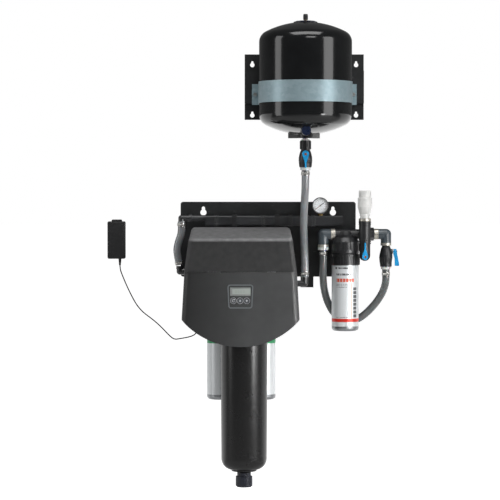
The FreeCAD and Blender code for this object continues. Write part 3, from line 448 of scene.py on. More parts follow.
@dataclass(frozen=True)
class CoverPlastic(Finish):
    """Black cover plastic with a spark-eroded texture, dustier where it faces up."""

    dust: Colour = (0.3, 0.3, 0.305)
    # A painted shadow: the band of height that is darkened where the hood meets the panel, and its
    # colour.
    seam_shadow_low: float = -0.1805
    seam_shadow_high: float = -0.1734
    seam_shadow: Colour = (0.004, 0.004, 0.004)

    def tint(self, shader: Shader) -> Any:
        """Return the black, dusty on the roof, with a painted shadow in the gap where the hood
        meets the panel.
        """
        facing = shader.add("ShaderNodeSeparateXYZ", inputs={
            0: shader.add("ShaderNodeNewGeometry").outputs["Normal"]}).outputs[2]
        up = Expr(shader, facing).above(0.25, 0.5)
        dusty = shader.mix(up * (shader.noise(60.0, 4.0) * 0.5 + 0.2), super().tint(shader),
                           self.dust)
        # Painted shadow: darken the band across the gap under the hood's lower lip.
        seam_shadow = shader.place()[2].within(self.seam_shadow_low, self.seam_shadow_high, 0.0025)
        return shader.mix(seam_shadow * 0.85, dusty, self.seam_shadow)

    def relief(self, shader: Shader) -> Expr:
        """Return the pebbled texture."""
        return (shader.cells(1500.0) * self.grain_height
                + shader.noise(480.0, 2.0) * (self.grain_height * 1.2))


@dataclass(frozen=True)
class Canister(Finish):
    """A sealed filter canister: a foil label with coloured bands around a plastic shell."""

    centre_x: float = 0.0
    centre_y: float = -0.095
    label_top: float = -0.172
    label_low: float = -0.552
    shell: Colour = (0.3, 0.31, 0.32)
    bands: tuple[tuple[float, float, Colour], ...] = ()

    def across(self, shader: Shader) -> Expr:
        """Return the distance round the shell to the right of its front line, in metres."""
        x, y, _ = shader.place()
        return (x - self.centre_x).angle(self.centre_y - y) * 0.0413

    def printed(self, shader: Shader, foil: Any) -> Any:
        """Return the foil with what is printed on it."""
        _, _, z = shader.place()
        for low, high, colour in self.bands:
            foil = shader.mix(z.within(low, high), foil, colour)
        return foil

    def covered(self, shader: Shader) -> Expr:
        """Return a mask of where the label is."""
        return shader.place()[2].within(self.label_low, self.label_top)

    def tint(self, shader: Shader) -> Any:
        """Return the label's print over the foil, and the shell beyond its ends."""
        foil = shader.mix(shader.noise((700.0, 700.0, 5.0), 2.0), self.colour,
                          tuple(c * 1.3 for c in self.colour))
        return shader.mix(self.covered(shader), self.shell, self.printed(shader, foil))

    def metal(self, shader: Shader) -> Varying:
        """Return how metallic the foil and the bare can are."""
        return self.covered(shader) * (self.metallic - 0.9) + 0.9

    def relief(self, shader: Shader) -> Expr:
        """Return the label's edge standing off the shell, with its faint ripples."""
        return (self.covered(shader) * 0.00015 + shader.noise((25.0, 25.0, 60.0), 2.0)
                * 0.00012 + shader.noise(900.0, 1.0) * self.grain_height)


@dataclass(frozen=True)
class PrintedCanister(Canister):
    """The canister in front, whose label also has bars, a block, a square and a side stripe."""

    ink: Colour = (0.03, 0.03, 0.035)
    side_stripe: Colour = (0.66, 0.24, 0.16)
    title: Colour = (0.6, 0.07, 0.02)
    bars: tuple[tuple[float, float, float, float], ...] = (
        (-0.025, 0.008, -0.17, -0.165), (-0.0305, 0.021, -0.1895, -0.1835),
        (-0.0305, 0.006, -0.217, -0.2155), (-0.0305, 0.014, -0.2215, -0.22),
        (-0.0305, 0.004, -0.226, -0.2245), (-0.031, 0.007, -0.3175, -0.316))

    def printed(self, shader: Shader, foil: Any) -> Any:
        """Return the bands with the plain printed shapes."""
        u = self.across(shader)
        z = shader.place()[2]
        foil = super().printed(shader, foil)
        foil = shader.mix(u.within(0.0175, 0.0205).both(z.within(-0.322, -0.212)), foil,
                          self.side_stripe)
        blocks = u.within(0.0245, 0.038).both(z.within(-0.318, -0.226))
        blocks = blocks.both((z * (1 / 0.0118)).fraction().within(0.12, 0.9, 0.03))
        blocks = blocks.either(u.within(-0.035, -0.028).both(z.within(-0.1705, -0.1645)))
        broken = shader.noise((420.0, 420.0, 90.0), 1.0).above(0.42, 0.05)
        for left, right, low, high in self.bars:
            bar = u.within(left, right).both(z.within(low, high))
            blocks = blocks.either(bar.both(broken))
        foil = shader.mix(blocks * 0.9, foil, self.ink)
        title = u.within(-0.0305, 0.0265).both(z.within(-0.2095, -0.199))
        slots = (u * (1 / 0.0094)).fraction().within(0.08, 0.92, 0.04)
        return shader.mix(title.both(slots) * 0.95, foil, self.title)


@dataclass(frozen=True)
class LeverSet(Finish):
    """A bored steel ball and stem under a moulded lever, held by a painted screw."""

    axis: Axis = Axis.Y
    sign: float = -1.0
    lever_from: float = 0.02
    screw_from: float = 0.0275
    screw_r: float = 0.0036
    centre: Point = (0.0, 0.0, 0.0)
    screw: Colour = (0.36, 0.09, 0.02)
    steel: Colour = (0.6, 0.6, 0.6)

    def masks(self, shader: Shader) -> tuple[Expr, Expr]:
        """Return where the lever is, and where its screw is."""
        along = shader.place()[self.axis.value]
        reach = (along - self.centre[self.axis.value]) * self.sign
        near = 1 - shader.far(self.centre, self.axis).above(self.screw_r)
        return reach.above(self.lever_from), near.both(reach.above(self.screw_from))

    def tint(self, shader: Shader) -> Any:
        """Return steel inside, the lever's colour outside and the screw's on its head."""
        lever, screw = self.masks(shader)
        base = shader.mix(lever, self.steel, super().tint(shader))
        return shader.mix(screw, base, self.screw)

    def metal(self, shader: Shader) -> Varying:
        """Return how metallic it is: only the ball and stem are bare."""
        return 1 - self.masks(shader)[0]


@dataclass(frozen=True)
class TwoTone(Finish):
    """One finish over the whole piece but for a region of another colour."""

    second: Colour = (0.02, 0.02, 0.02)
    axis: Axis = Axis.Y
    low: float = -1.0
    high: float = 1.0
    second_metal: float = 0.0

    def region(self, shader: Shader) -> Expr:
        """Return a mask of the second colour's region."""
        return shader.place()[self.axis.value].within(self.low, self.high)

    def tint(self, shader: Shader) -> Any:
        """Return the two colours."""
        return shader.mix(self.region(shader), super().tint(shader), self.second)

    def metal(self, shader: Shader) -> Varying:
        """Return how metallic each region is."""
        return self.region(shader) * (self.second_metal - self.metallic) + self.metallic


@dataclass(frozen=True)
class HosePlastic(Finish):
    """Reinforced grey hose: a braid seen faintly under a glossy clear skin."""

    braid: float = 0.012

    def tint(self, shader: Shader) -> Any:
        """Return the grey with a faint crossed braid and cloudy patches."""
        x, y, z = shader.place()
        lean = (x + y) * (1.5 / self.braid)
        first = abs((z * (1 / self.braid) + lean).fraction() - 0.5)
        second = abs((z * (1 / self.braid) - lean).fraction() - 0.5)
        thread = 1 - first.both(second).above(0.05, 0.06)
        light = tuple(min(1.0, c * 1.22) for c in self.colour)
        return shader.mix(thread * 0.35, super().tint(shader), light)


@dataclass(frozen=True)
class Dial(Finish):
    """The printed face of a pressure gauge."""

    centre: Point = (0.1592, -0.066, 0.0219)
    ink: Colour = (0.09, 0.075, 0.06)

    def tint(self, shader: Shader) -> Any:
        """Return the white face with a ring of long and short marks and a thin scale line."""
        x, _, z = shader.place()
        out = shader.far(self.centre, Axis.Y)
        turn = (x - self.centre[0]).angle(z - self.centre[2]) * (180 / math.pi)
        swept = 1 - abs(turn).above(134, 0.5)
        short = 1 - (0.5 - abs((turn * (1 / 5.2)).fraction() - 0.5)).above(0.16, 0.05)
        long = 1 - (0.5 - abs((turn * (1 / 26)).fraction() - 0.5)).above(0.06, 0.02)
        marks = short.both(out.within(0.0165, 0.0192)).either(
            long.both(out.within(0.0135, 0.0192)))
        line = out.within(0.0192, 0.0197, 0.0001)
        return shader.mix(marks.either(line).both(swept), super().tint(shader), self.ink)


@dataclass(frozen=True)
class Screen(Finish):
    """A small status display: a raised grey rim round a greenish glass with plain segments."""

    left: float = -0.1085
    right: float = -0.0465
    low: float = -0.2385
    high: float = -0.2235
    glass: Colour = (0.27, 0.3, 0.275)
    segment: Colour = (0.22, 0.25, 0.225)

    def tint(self, shader: Shader) -> Any:
        """Return the rim, the glass and its segments."""
        x, _, z = shader.place()
        inside = x.within(self.left, self.right).both(z.within(self.low, self.high))
        span = (self.high - self.low)
        cell = (x * (1 / 0.0078)).fraction()
        stroke = cell.within(0.16, 0.26, 0.02).either(cell.within(0.62, 0.72, 0.02))
        bars = z.within(self.low + span * 0.28, self.low + span * 0.36).either(
            z.within(self.high - span * 0.36, self.high - span * 0.28))
        shown = stroke.either(bars.both(cell.within(0.16, 0.72, 0.02))).both(
            z.within(self.low + span * 0.28, self.high - span * 0.28))
        shown = shown.both(x.within(self.left + 0.006, self.left + 0.0372))
        lit = shader.mix(shown, self.glass, self.segment)
        return shader.mix(inside, super().tint(shader), lit)


@dataclass(frozen=True)
class RimmedCover(CoverPlastic):
    """The cover's lower panel, with a paler rim moulded round its display."""

    rim: Colour = (0.1, 0.11, 0.115)
    proud: float = -0.29035
    # A painted sheen: the colour the panel is lightened to towards the right, where the light
    # falls, and where that starts.
    painted_sheen: Colour = (0.06, 0.061, 0.062)
    painted_sheen_from: float = -0.16

    def tint(self, shader: Shader) -> Any:
        """Return the texture's black with a painted sheen that pales it towards the right, and the
        proud rim's grey.
        """
        x, y, _ = shader.place()
        # Painted sheen: a soft, patchy lightening towards the right stands in for the light from
        # that side.
        painted_sheen = x.above(self.painted_sheen_from, 0.2) * (0.35 + shader.noise(26.0, 4.0) * 0.4)
        panel = shader.mix(painted_sheen, super().tint(shader), self.painted_sheen)
        return shader.mix(1 - y.above(self.proud), panel, self.rim)


@dataclass(frozen=True)
class StudioPaper(Finish):
    """White paper, lit from below behind the object and blown out far from it."""

    def make(self) -> bpy.types.Material:
        """Build the paper, which casts light only behind the object."""
        shader = Shader(self.name)
        seen = Expr(shader, shader.add("ShaderNodeLightPath").outputs["Is Camera Ray"])
        blown = shader.far((0.0, 0.0, 0.0), Axis.Z).above(2.6, 3.2) * seen
        glow = shader.place()[1].above(0.45, 0.5).either(blown)
        shader.feed(shader.surface.inputs["Emission Color"],
                    shader.mix(glow, (0.0, 0.0, 0.0), (1.0, 1.0, 1.0)))
        return shader.finish(self.tint(shader), self.roughness, 0.0, None,
                             {"Emission Strength": 0.95})


@dataclass(frozen=True)
class SplitCase(Finish):
    """A case moulded in two halves, with the fine groove where they meet."""

    seam_y: float = -0.033

    def groove(self, shader: Shader) -> Expr:
        """Return a mask of the groove."""
        y = shader.place()[1]
        return y.within(self.seam_y - 0.0004, self.seam_y + 0.0004)

    def tint(self, shader: Shader) -> Any:
        """Return the case's colour, darker in the groove."""
        return shader.mix(self.groove(shader) * 0.8, super().tint(shader), (0.002, 0.002, 0.002))

    def relief(self, shader: Shader) -> Expr:
        """Return the grain with the groove cut into it."""
        return super().relief(shader) - self.groove(shader) * 0.0003


@dataclass(frozen=True)
class Circuit(Finish):
    """Green circuit board with copper runs under the mask."""

    run: Colour = (0.03, 0.2, 0.06)

    def tint(self, shader: Shader) -> Any:
        """Return the mask with its paler runs."""
        x, _, z = shader.place()
        across = (x * 400).fraction().within(0.3, 0.5, 0.05)
        up = (z * 330).fraction().within(0.55, 0.75, 0.05)
        patch = shader.noise(70.0, 0.0).above(0.5, 0.02)
        return shader.mix(across.both(patch).either(up.both(1 - patch)), super().tint(shader),
                          self.run)


@dataclass(frozen=True)
class Lens(Finish):
    """Clear flat glass with faint smears."""

    def make(self) -> bpy.types.Material:
        """Build the glass: thin, clear and glossy."""
        shader = Shader(self.name)
        smear = shader.noise(45.0, 4.0).above(0.6, 0.4) * 0.06
        shader.feed(shader.surface.inputs["Alpha"], smear + 0.1)
        return shader.finish(self.tint(shader), self.gloss(shader), 0.0, None, {})


# ---- mesh making ---------------------------------------------------------------------------------


def facing(way: Way) -> Matrix:
    """Return the turn that takes +Z to a row direction."""
    return way.value.to_track_quat("Z", "Y").to_matrix().to_4x4()


def settle(name: str, mesh: bmesh.types.BMesh, place: Matrix, round_off: float = 0.0,
           sharp: float = 35.0) -> bpy.types.Object:
    """Turn a bmesh into an object with eased edges and smooth faces.

    Args:
        name: The piece's name.
        mesh: The geometry, which is freed.
        place: Where it goes.
        round_off: The radius of its eased edges, or 0 for none.
        sharp: Edges above this angle, in degrees, stay sharp.

    Returns:
        The new object.
    """
    bmesh.ops.remove_doubles(mesh, verts=mesh.verts, dist=1e-7)
    bmesh.ops.recalc_face_normals(mesh, faces=mesh.faces)
    mesh.transform(place)
    data = bpy.data.meshes.new(name)
    mesh.to_mesh(data)
    mesh.free()
    data.polygons.foreach_set("use_smooth", [True] * len(data.polygons))
    data.set_sharp_from_angle(angle=math.radians(sharp))
    piece = bpy.data.objects.new(name, data)
    bpy.context.scene.collection.objects.link(piece)
    if round_off:
        ease = piece.modifiers.new("eased edges", "BEVEL")
        ease.width, ease.segments, ease.limit_method = round_off, 2, "ANGLE"
        ease.harden_normals = True
    return piece


def turned(name: str, outline: Sequence[tuple[float, float]], centre: Point, way: Way,
           steps: int = 64) -> bpy.types.Object:
    """Turn a closed outline round an axis.

    Args:
        name: The piece's name.
        outline: Radius and height of each corner, none on the axis; the last joins the first.
        centre: The axis's foot.
        way: The way the height grows.
        steps: Facets round the axis.

    Returns:
        The turned piece.
    """
    mesh = bmesh.new()
    loops = []
    for step in range(steps):
        angle = 2 * math.pi * step / steps
        loops.append([mesh.verts.new((r * math.cos(angle), r * math.sin(angle), h))
                      for r, h in outline])
    for step, loop in enumerate(loops):
        after = loops[(step + 1) % steps]
        for i in range(len(outline)):
            j = (i + 1) % len(outline)
            mesh.faces.new([loop[i], after[i], after[j], loop[j]])
    return settle(name, mesh, Matrix.Translation(centre) @ facing(way))


def raised(name: str, outlines: Sequence[Sequence[tuple[float, float]]], thick: float,
           centre: Point, way: Way, ease: float = 0.0001) -> bpy.types.Object:
    """Raise flat outlines into thin solids.

    Args:
        name: The piece's name.
        outlines: The corners of each outline, across and up as seen from its front.
        thick: How far they are raised.
        centre: Their middle, on the surface they stand on.
        way: The way they are raised.
        ease: The radius of their eased edges.

    Returns:
        The raised piece.
    """
    mesh = bmesh.new()
    for outline in outlines:
        low = [mesh.verts.new((a, b, 0)) for a, b in outline]
        top = [mesh.verts.new((a, b, thick)) for a, b in outline]
        mesh.faces.new(low[::-1])
        mesh.faces.new(top)
        for i in range(len(outline)):
            j = (i + 1) % len(outline)
            mesh.faces.new([low[i], low[j], top[j], top[i]])
    return settle(name, mesh, Matrix.Translation(centre) @ facing(way), ease)


def studs(name: str, spots: Sequence[Matrix], size: Point, ease: float) -> bpy.types.Object:
    """Set a row of small eased blocks, such as ribs or slots.

    Args:
        name: The piece's name.
        spots: The place of each block's middle.
        size: The size of each block.
        ease: The radius of their eased edges.

    Returns:
        The piece with all the blocks.
    """
    mesh = bmesh.new()
    for spot in spots:
        made = bmesh.ops.create_cube(mesh, size=1.0)["verts"]
        bmesh.ops.transform(mesh, matrix=spot @ Matrix.Diagonal((*size, 1)), verts=made)
    return settle(name, mesh, Matrix.Identity(4), ease)


def arc(radius: float, start: float, end: float, steps: int) -> list[tuple[float, float]]:
    """Return points along an arc, its angles in degrees."""
    return [(radius * math.cos(math.radians(start + (end - start) * i / steps)),
             radius * math.sin(math.radians(start + (end - start) * i / steps)))
            for i in range(steps + 1)]


def round_ribs(name: str, count: int, centre: Point, radius: float, size: Point, lean: float = 0.0,
               gap_at: float | None = None, gap: float = 0.6) -> bpy.types.Object:
    """Set ribs upright round an axis.

    Args:
        name: The piece's name.
        count: How many would go all the way round.
        centre: The middle of the ring, halfway up the ribs.
        radius: How far out their middles are.
        size: Each rib's depth, width and height.
        lean: How far their feet lean in, in radians.
        gap_at: The angle to leave free, in radians, or None.
        gap: Half the angle that is left free.

    Returns:
        The piece with all the ribs.
    """
    spots = []
    for i in range(count):
        angle = 2 * math.pi * (i + 0.5) / count
        if gap_at is not None and math.cos(angle - gap_at) > math.cos(gap):
            continue
        spots.append(Matrix.Translation(centre) @ Matrix.Rotation(angle, 4, "Z")
                     @ Matrix.Translation((radius, 0, 0)) @ Matrix.Rotation(lean, 4, "Y"))
    return studs(name, spots, size, min(size[:2]) * 0.22)


def barrel_ribs(name: str, ball: Point, lever_at: float) -> bpy.types.Object:
    """Return the grip ribs on a ball valve's body, clear of its lever.

    Args:
        name: The piece's name.
        ball: The middle of the valve's ball.
        lever_at: The angle that its lever faces, in radians.
    """
    return round_ribs(name, 18, (ball[0], ball[1], ball[2] - 0.0265), 0.0186,
                      (0.0026, 0.0024, 0.021), 0.09, lever_at)


# ---- sub-assemblies ------------------------------------------------------------------------------


@dataclass
class Assembly:
    """A group of CAD nodes with their finishes, and the small pieces that are added to them."""

    finishes: dict[str, Finish] = field(default_factory=dict)
    made: dict[str, bpy.types.Material] = field(default_factory=dict)

    def material(self, finish: Finish) -> bpy.types.Material:
        """Return a finish's material, built once."""
        if finish.name not in self.made:
            self.made[finish.name] = finish.make()
        return self.made[finish.name]

    def dress(self, nodes: dict[str, bpy.types.Object]) -> None:
        """Give each CAD node its finish.

        Args:
            nodes: The CAD nodes by name.
        """
        for name, finish in self.finishes.items():
            slots = nodes[name].data.materials
            if not slots:
                slots.append(None)
            for place in range(len(slots)):
                slots[place] = self.material(finish)
            log.info("%s: %s", name, finish.name)

    def add(self, piece: bpy.types.Object, body: str, finish: Finish,
            slot: str) -> bpy.types.Object:
        """Fix a new piece to a body and give it its finish.

        Args:
            piece: The piece.
            body: The body that it moves with.
            finish: Its finish.
            slot: The material slot it stands for; not used.

        Returns:
            The piece.
        """
        piece.data.materials.append(self.material(finish))
        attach(piece, body)
        log.info("%s rides on %s: %s", piece.name, body, finish.name)
        return piece

    def build(self) -> None:
        """Add the small pieces. The plain assembly has none."""


VALVE_BLACK = Finish("ribbed black polypropylene", (0.011, 0.0115, 0.013), 0.4, grain_scale=900.0,
                     grain_height=0.00003, extras=(("Coat Weight", 0.1),))
MOULD_BLACK = Finish("moulded black plastic", (0.009, 0.0095, 0.0105), 0.36, patches=0.3,
                     extras=(("Coat Weight", 0.15), ("Coat Roughness", 0.2)))
STAINLESS = BrushedMetal("stainless band", (0.62, 0.61, 0.58), 0.26, metallic=1.0,
                         grain_height=0.000004)
TANK_ENAMEL = TankPaint("black tank enamel", (0.005, 0.0055, 0.006), 0.16, grain_height=0.000012,
                        marks=0.05, extras=(("Specular IOR Level", 0.3), ("Coat Weight", 0.35),
                                            ("Coat Roughness", 0.05)))
POWDER_COAT = PlatePaint("black powder coat", (0.006, 0.0068, 0.0075), 0.4, grain_scale=1700.0,
                         grain_height=0.00002)
HOSE_SKIN = (("Coat Weight", 0.5), ("Coat Roughness", 0.12), ("Subsurface Weight", 0.15),
             ("Subsurface Scale", 0.004))
GREY_HOSE = HosePlastic("reinforced grey hose", (0.2, 0.21, 0.22), 0.24, extras=HOSE_SKIN)
SOFT_KEYS = Finish("soft grey keys", (0.045, 0.05, 0.055), 0.4)
LEVER_BLUE: Colour = (0.003, 0.27, 0.58)
FOIL: Colour = (0.56, 0.58, 0.59)
GREEN_BAND: tuple[float, float, Colour] = (-0.396, -0.38, (0.03, 0.25, 0.1))

HEAD_Y = -0.095
HEAD_SPOTS = {"filter_one": -0.146, "filter_two": -0.019, "remineralizer": 0.234}
TEE = (0.292, -0.127)
TANK_BALL: Point = (0.111, -0.158, 0.177)
OUTLET_BALL: Point = (0.358, -0.095, -0.118)


@dataclass
class StorageTank(Assembly):
    """The enamelled pressure tank with its air valve, strap, bracket, drain and shut-off."""

    finishes: dict[str, Finish] = field(default_factory=lambda: {
        "tank_shell_lower": TANK_ENAMEL,
        "tank_shell_upper": TANK_ENAMEL,
        "tank_diaphragm": Finish("butyl rubber", (0.02, 0.02, 0.02), 0.7),
        "air_valve": BrushedMetal("turned brass", (0.72, 0.53, 0.26), 0.3, metallic=1.0,
                                  grain_height=0.000004),
        "air_valve_cap": Finish("air valve cap", (0.012, 0.012, 0.014), 0.45,
                                grain_scale=2200.0, grain_height=0.00003),
        "air_valve_tag": Finish("dark blue valve tag", (0.008, 0.012, 0.03), 0.35),
        "tank_bracket": POWDER_COAT,
        "tank_strap": Galvanised("galvanised strap", (0.25, 0.345, 0.375), 0.42, metallic=0.45,
                                 lines=(3.0, 3.0, 420.0), stained=0.06, streaks=0.07,
                                 grain_height=0.000002),
        "strap_fasteners": BrushedMetal("zinc bolts", (0.6, 0.6, 0.58), 0.3, metallic=1.0,
                                        grain_height=0.000004),
        "tank_foot": MOULD_BLACK,
        "tank_drain": TwoTone("drain plug blue", (0.004, 0.012, 0.045), 0.3,
                              second=(0.012, 0.012, 0.014), low=-0.2275, high=0.0),
        "tank_coupling": VALVE_BLACK,
        "tank_valve_body": VALVE_BLACK,
        "tank_valve_lever": LeverSet(
            "tank lever and ball", LEVER_BLUE, 0.36, centre=TANK_BALL,
            lever_from=0.0245, screw_from=0.0305),
        "tank_hose": GREY_HOSE,
    })

    def build(self) -> None:
        """Add the tag's pressed ring, the cap's grip and the ball valve's ribs."""
        x, y, _ = TANK_BALL
        tag = self.finishes["air_valve_tag"]
        brim = turned("valve_tag_rim", [(0.0262, 0.0), (0.0296, 0.0), (0.0296, 0.0008),
                                        (0.0279, 0.0013), (0.0262, 0.0008)],
                      (x, y, 0.576), Way.UP, 72)
        self.add(brim, "frame", tag, "nut_navy")
        spots = [Matrix.Translation((x, y, 0.5885)) @ Matrix.Rotation(2 * math.pi * i / 24, 4, "Z")
                 @ Matrix.Translation((0.0067, 0, 0)) for i in range(24)]
        grip = studs("air_cap_grip", spots, (0.0009, 0.0008, 0.012), 0.0002)
        self.add(grip, "air_valve_cap", self.finishes["air_valve_cap"], "black_plastic")
        ribs = barrel_ribs("tank_valve_ribs", TANK_BALL, -math.pi / 2)
        self.add(ribs, "frame", VALVE_BLACK, "valve_black")


@dataclass
class Housing(Assembly):
    """The back plate, the textured cover with its display and buttons, and what it hides."""

    front: float = -0.2914
    button_z: float = -0.258
    button_x: tuple[float, float, float] = (-0.1052, -0.0854, -0.0656)
    finishes: dict[str, Finish] = field(default_factory=lambda: {
        "back_plate": POWDER_COAT,
        "cover_hood": CoverPlastic("textured cover", (0.006, 0.006, 0.006), 0.55,
                                   grain_height=0.00004, patches=0.08,
                                   extras=(("Specular IOR Level", 0.24),)),
        "cover_panel": RimmedCover("textured cover with rim", (0.0072, 0.0074, 0.0076),
                                    0.46, grain_height=0.00004, patches=0.08,
                                    extras=(("Specular IOR Level", 0.42),)),
        "display_screen": Screen("status display", (0.2, 0.21, 0.205), 0.3,
                                 extras=(("Coat Weight", 0.6), ("Coat Roughness", 0.08))),
        "display_board": Circuit("circuit board", (0.01, 0.09, 0.03), 0.4),
        **{f"button_{key}": SOFT_KEYS for key in ("menu", "down", "up")},
        "control_box": MOULD_BLACK,
    })

    def build(self) -> None:
        """Add a plain sign and a thin ring to each key."""
        pale = Finish("key print", (0.42, 0.43, 0.43), 0.45, patches=0.05)
        head, shaft = 0.0034, 0.0011
        down = [(-shaft, 0.0032), (-shaft, 0.0), (-head, 0.0), (0.0, -0.0036), (head, 0.0),
                (shaft, 0.0), (shaft, 0.0032)]
        up = [(a, -b) for a, b in down][::-1]
        sweep = arc(0.0041, 60, 330, 22) + arc(0.0030, 330, 60, 22)
        tip = [(0.0018, 0.0060), (0.0012, 0.0012), (0.0052, 0.0036)]
        signs = {"menu": [sweep, tip], "down": [down], "up": [up]}
        for (key, outlines), x in zip(signs.items(), self.button_x):
            sign = raised(f"sign_{key}", outlines, 0.0003, (x, self.front, self.button_z), Way.OUT,
                          0.00008)
            self.add(sign, f"button_{key}", pale, "button_dark")
            ring = turned(f"key_ring_{key}", [(0.0087, 0.0), (0.0093, 0.0), (0.0092, 0.0006),
                                              (0.0088, 0.0006)],
                          (x, -0.29, self.button_z), Way.OUT, 48)
            self.add(ring, "cover", pale, "cover_black")


@dataclass
class Canisters(Assembly):
    """The inlet manifold, three filter heads and their canisters."""

    finishes: dict[str, Finish] = field(default_factory=lambda: {
        "manifold": Finish("black manifold bar", (0.016, 0.017, 0.019), 0.36, patches=0.35,
                           patch_scale=14.0, grain_height=0.00003,
                           extras=(("Coat Weight", 0.2), ("Coat Roughness", 0.2))),
        "manifold_clips": POWDER_COAT,
        "filter_heads": MOULD_BLACK,
        **{f"{name}_collar": MOULD_BLACK for name in HEAD_SPOTS},
        "filter_one_cartridge": Canister("first prefilter label", FOIL, 0.34, metallic=0.3,
                                         centre_x=HEAD_SPOTS["filter_one"], bands=(GREEN_BAND,)),
        "filter_two_cartridge": Canister("second prefilter label", FOIL, 0.34, metallic=0.3,
                                         centre_x=HEAD_SPOTS["filter_two"], bands=(GREEN_BAND,)),
        "remineralizer_cartridge": PrintedCanister(
            "remineralizer label", FOIL, 0.34, metallic=0.3, centre_x=HEAD_SPOTS["remineralizer"],
            label_low=-0.345, label_top=-0.16,
            bands=((-0.331, -0.321, (0.62, 0.03, 0.015)),)),
    })

    def build(self) -> None:
        """Add the ribbed unions along the manifold, and the ribs and lugs round each head."""
        unions = [Matrix.Translation((x + step * 0.0045, -0.058, -0.02475))
                  for x in (-0.16, -0.0165, 0.069, 0.1385) for step in (-1, 0, 1)]
        sleeves = studs("manifold_unions", unions, (0.003, 0.0342, 0.0352), 0.0008)
        self.add(sleeves, "frame", self.finishes["manifold"], "black_plastic")
        for name, x in HEAD_SPOTS.items():
            ribs = round_ribs(f"{name}_head_ribs", 20, (x, HEAD_Y, -0.106), 0.0427,
                              (0.0018, 0.0042, 0.02))
            self.add(ribs, "frame", MOULD_BLACK, "black_plastic")
            lugs = round_ribs(f"{name}_collar_lugs", 8, (x, HEAD_Y, -0.1295), 0.0442,
                              (0.0026, 0.0125, 0.0058))
            self.add(lugs, f"{name}_collar", MOULD_BLACK, "black_plastic")


@dataclass
class Membrane(Assembly):
    """The membrane pressure vessel that hangs behind the cover."""

    finishes: dict[str, Finish] = field(default_factory=lambda: {
        "membrane_head": MOULD_BLACK,
        "membrane_lock_ring": MOULD_BLACK,
        "membrane_bowl": Finish("pressure bowl black", (0.0065, 0.0065, 0.0066), 0.27, patches=0.05,
                                patch_scale=11.0, grain_scale=900.0, grain_height=0.000003,
                                marks=0.02, extras=(("Specular IOR Level", 0.38),)),
        "membrane_element": Finish("membrane wrap", (0.62, 0.64, 0.62), 0.45),
        "membrane_drain_nut": Finish("navy drain nut", (0.006, 0.008, 0.018), 0.4,
                                     grain_scale=800.0, grain_height=0.00003),
    })

    def build(self) -> None:
        """Add the drain nut's grip ribs."""
        ribs = round_ribs("drain_nut_ribs", 22, (-0.074, -0.2, -0.8075), 0.0245,
                          (0.0022, 0.0032, 0.023))
        self.add(ribs, "membrane_drain_nut", self.finishes["membrane_drain_nut"], "nut_navy")


@dataclass
class Plumbing(Assembly):
    """Hoses, clamps, elbows and valves at both sides of the cover."""

    finishes: dict[str, Finish] = field(default_factory=lambda: {
        "inlet_hose": GREY_HOSE,
        "loop_hose": HosePlastic("dark reinforced hose", (0.1, 0.107, 0.108), 0.24,
                                 extras=HOSE_SKIN),
        "hose_clamps": STAINLESS,
        "hose_spigots": Finish("white acetal spigots", (0.62, 0.63, 0.62), 0.34, patches=0.06,
                               extras=(("Subsurface Weight", 0.2), ("Subsurface Scale", 0.003))),
        "hose_elbows": TwoTone("blue-grey pipe elbows", (0.045, 0.058, 0.068), 0.34,
                               second=(0.014, 0.0145, 0.016), axis=Axis.X, low=-0.3, high=0.13,
                               extras=(("Coat Weight", 0.25), ("Coat Roughness", 0.2))),
        "solenoid_valve": VALVE_BLACK,
        "solenoid_plunger": STAINLESS,
        "outlet_tee": VALVE_BLACK,
        "check_valve_body": Finish("natural check valve", (0.8, 0.8, 0.78), 0.3, patches=0.06,
                                   extras=(("Alpha", 0.66), ("Coat Weight", 0.3),
                                           ("Coat Roughness", 0.1))),
        "check_valve_poppet": Finish("white acetal poppet", (0.78, 0.78, 0.76), 0.4),
        "bypass_valve_body": VALVE_BLACK,
        "bypass_valve_lever": LeverSet(
            "bypass lever and ball", LEVER_BLUE, 0.36, centre=(*TEE, -0.1325),
            lever_from=0.0215, screw_from=0.0268),
        "outlet_valve_body": VALVE_BLACK,
        "outlet_valve_lever": LeverSet(
            "outlet lever and ball", LEVER_BLUE, 0.36, axis=Axis.X, sign=1.0,
            centre=OUTLET_BALL, lever_from=0.0222, screw_from=0.0318),
    })

    def build(self) -> None:
        """Add the outlet valve's ribs, the tee's hoops and the bright nickel sleeves."""
        ribs = barrel_ribs("outlet_valve_ribs", OUTLET_BALL, 0.0)
        self.add(ribs, "frame", VALVE_BLACK, "valve_black")
        hoop = [(0.0182, 0.0), (0.0192, 0.0006), (0.0192, 0.0026), (0.0182, 0.0032)]
        for i, z in enumerate((-0.0295, -0.0355, -0.083, -0.089, -0.095)):
            ring = turned(f"outlet_tee_hoop_{i + 1}", hoop, (*TEE, z), Way.UP, 72)
            self.add(ring, "frame", VALVE_BLACK, "valve_black")
        nickel = BrushedMetal("nickel sleeves", (0.6, 0.57, 0.5), 0.3, metallic=0.7,
                              lines=(800.0, 800.0, 60.0), stained=0.12, grain_height=0.000002)
        sleeves = {
            "left_elbow_side_sleeve": (0.0161, 0.0125, (0.1905, -0.095, -0.065), Way.RIGHT),
            "left_elbow_foot_sleeve": (0.0161, 0.0085, (0.167, -0.095, -0.0965), Way.DOWN),
            "right_elbow_side_sleeve": (0.0161, 0.0125, (0.3345, -0.095, -0.065), Way.LEFT),
            "right_elbow_foot_sleeve": (0.0161, 0.0085, (0.358, -0.095, -0.0915), Way.DOWN),
            "check_valve_sleeve": (0.0181, 0.0075, (*TEE, -0.0175), Way.DOWN),
        }
        for name, (radius, tall, centre, way) in sleeves.items():
            ring = turned(name, [(radius, 0.0), (radius + 0.0005, 0.0003),
                                 (radius + 0.0005, tall - 0.0003), (radius, tall)],
                          centre, way, 72)
            self.add(ring, "frame", nickel, "steel")


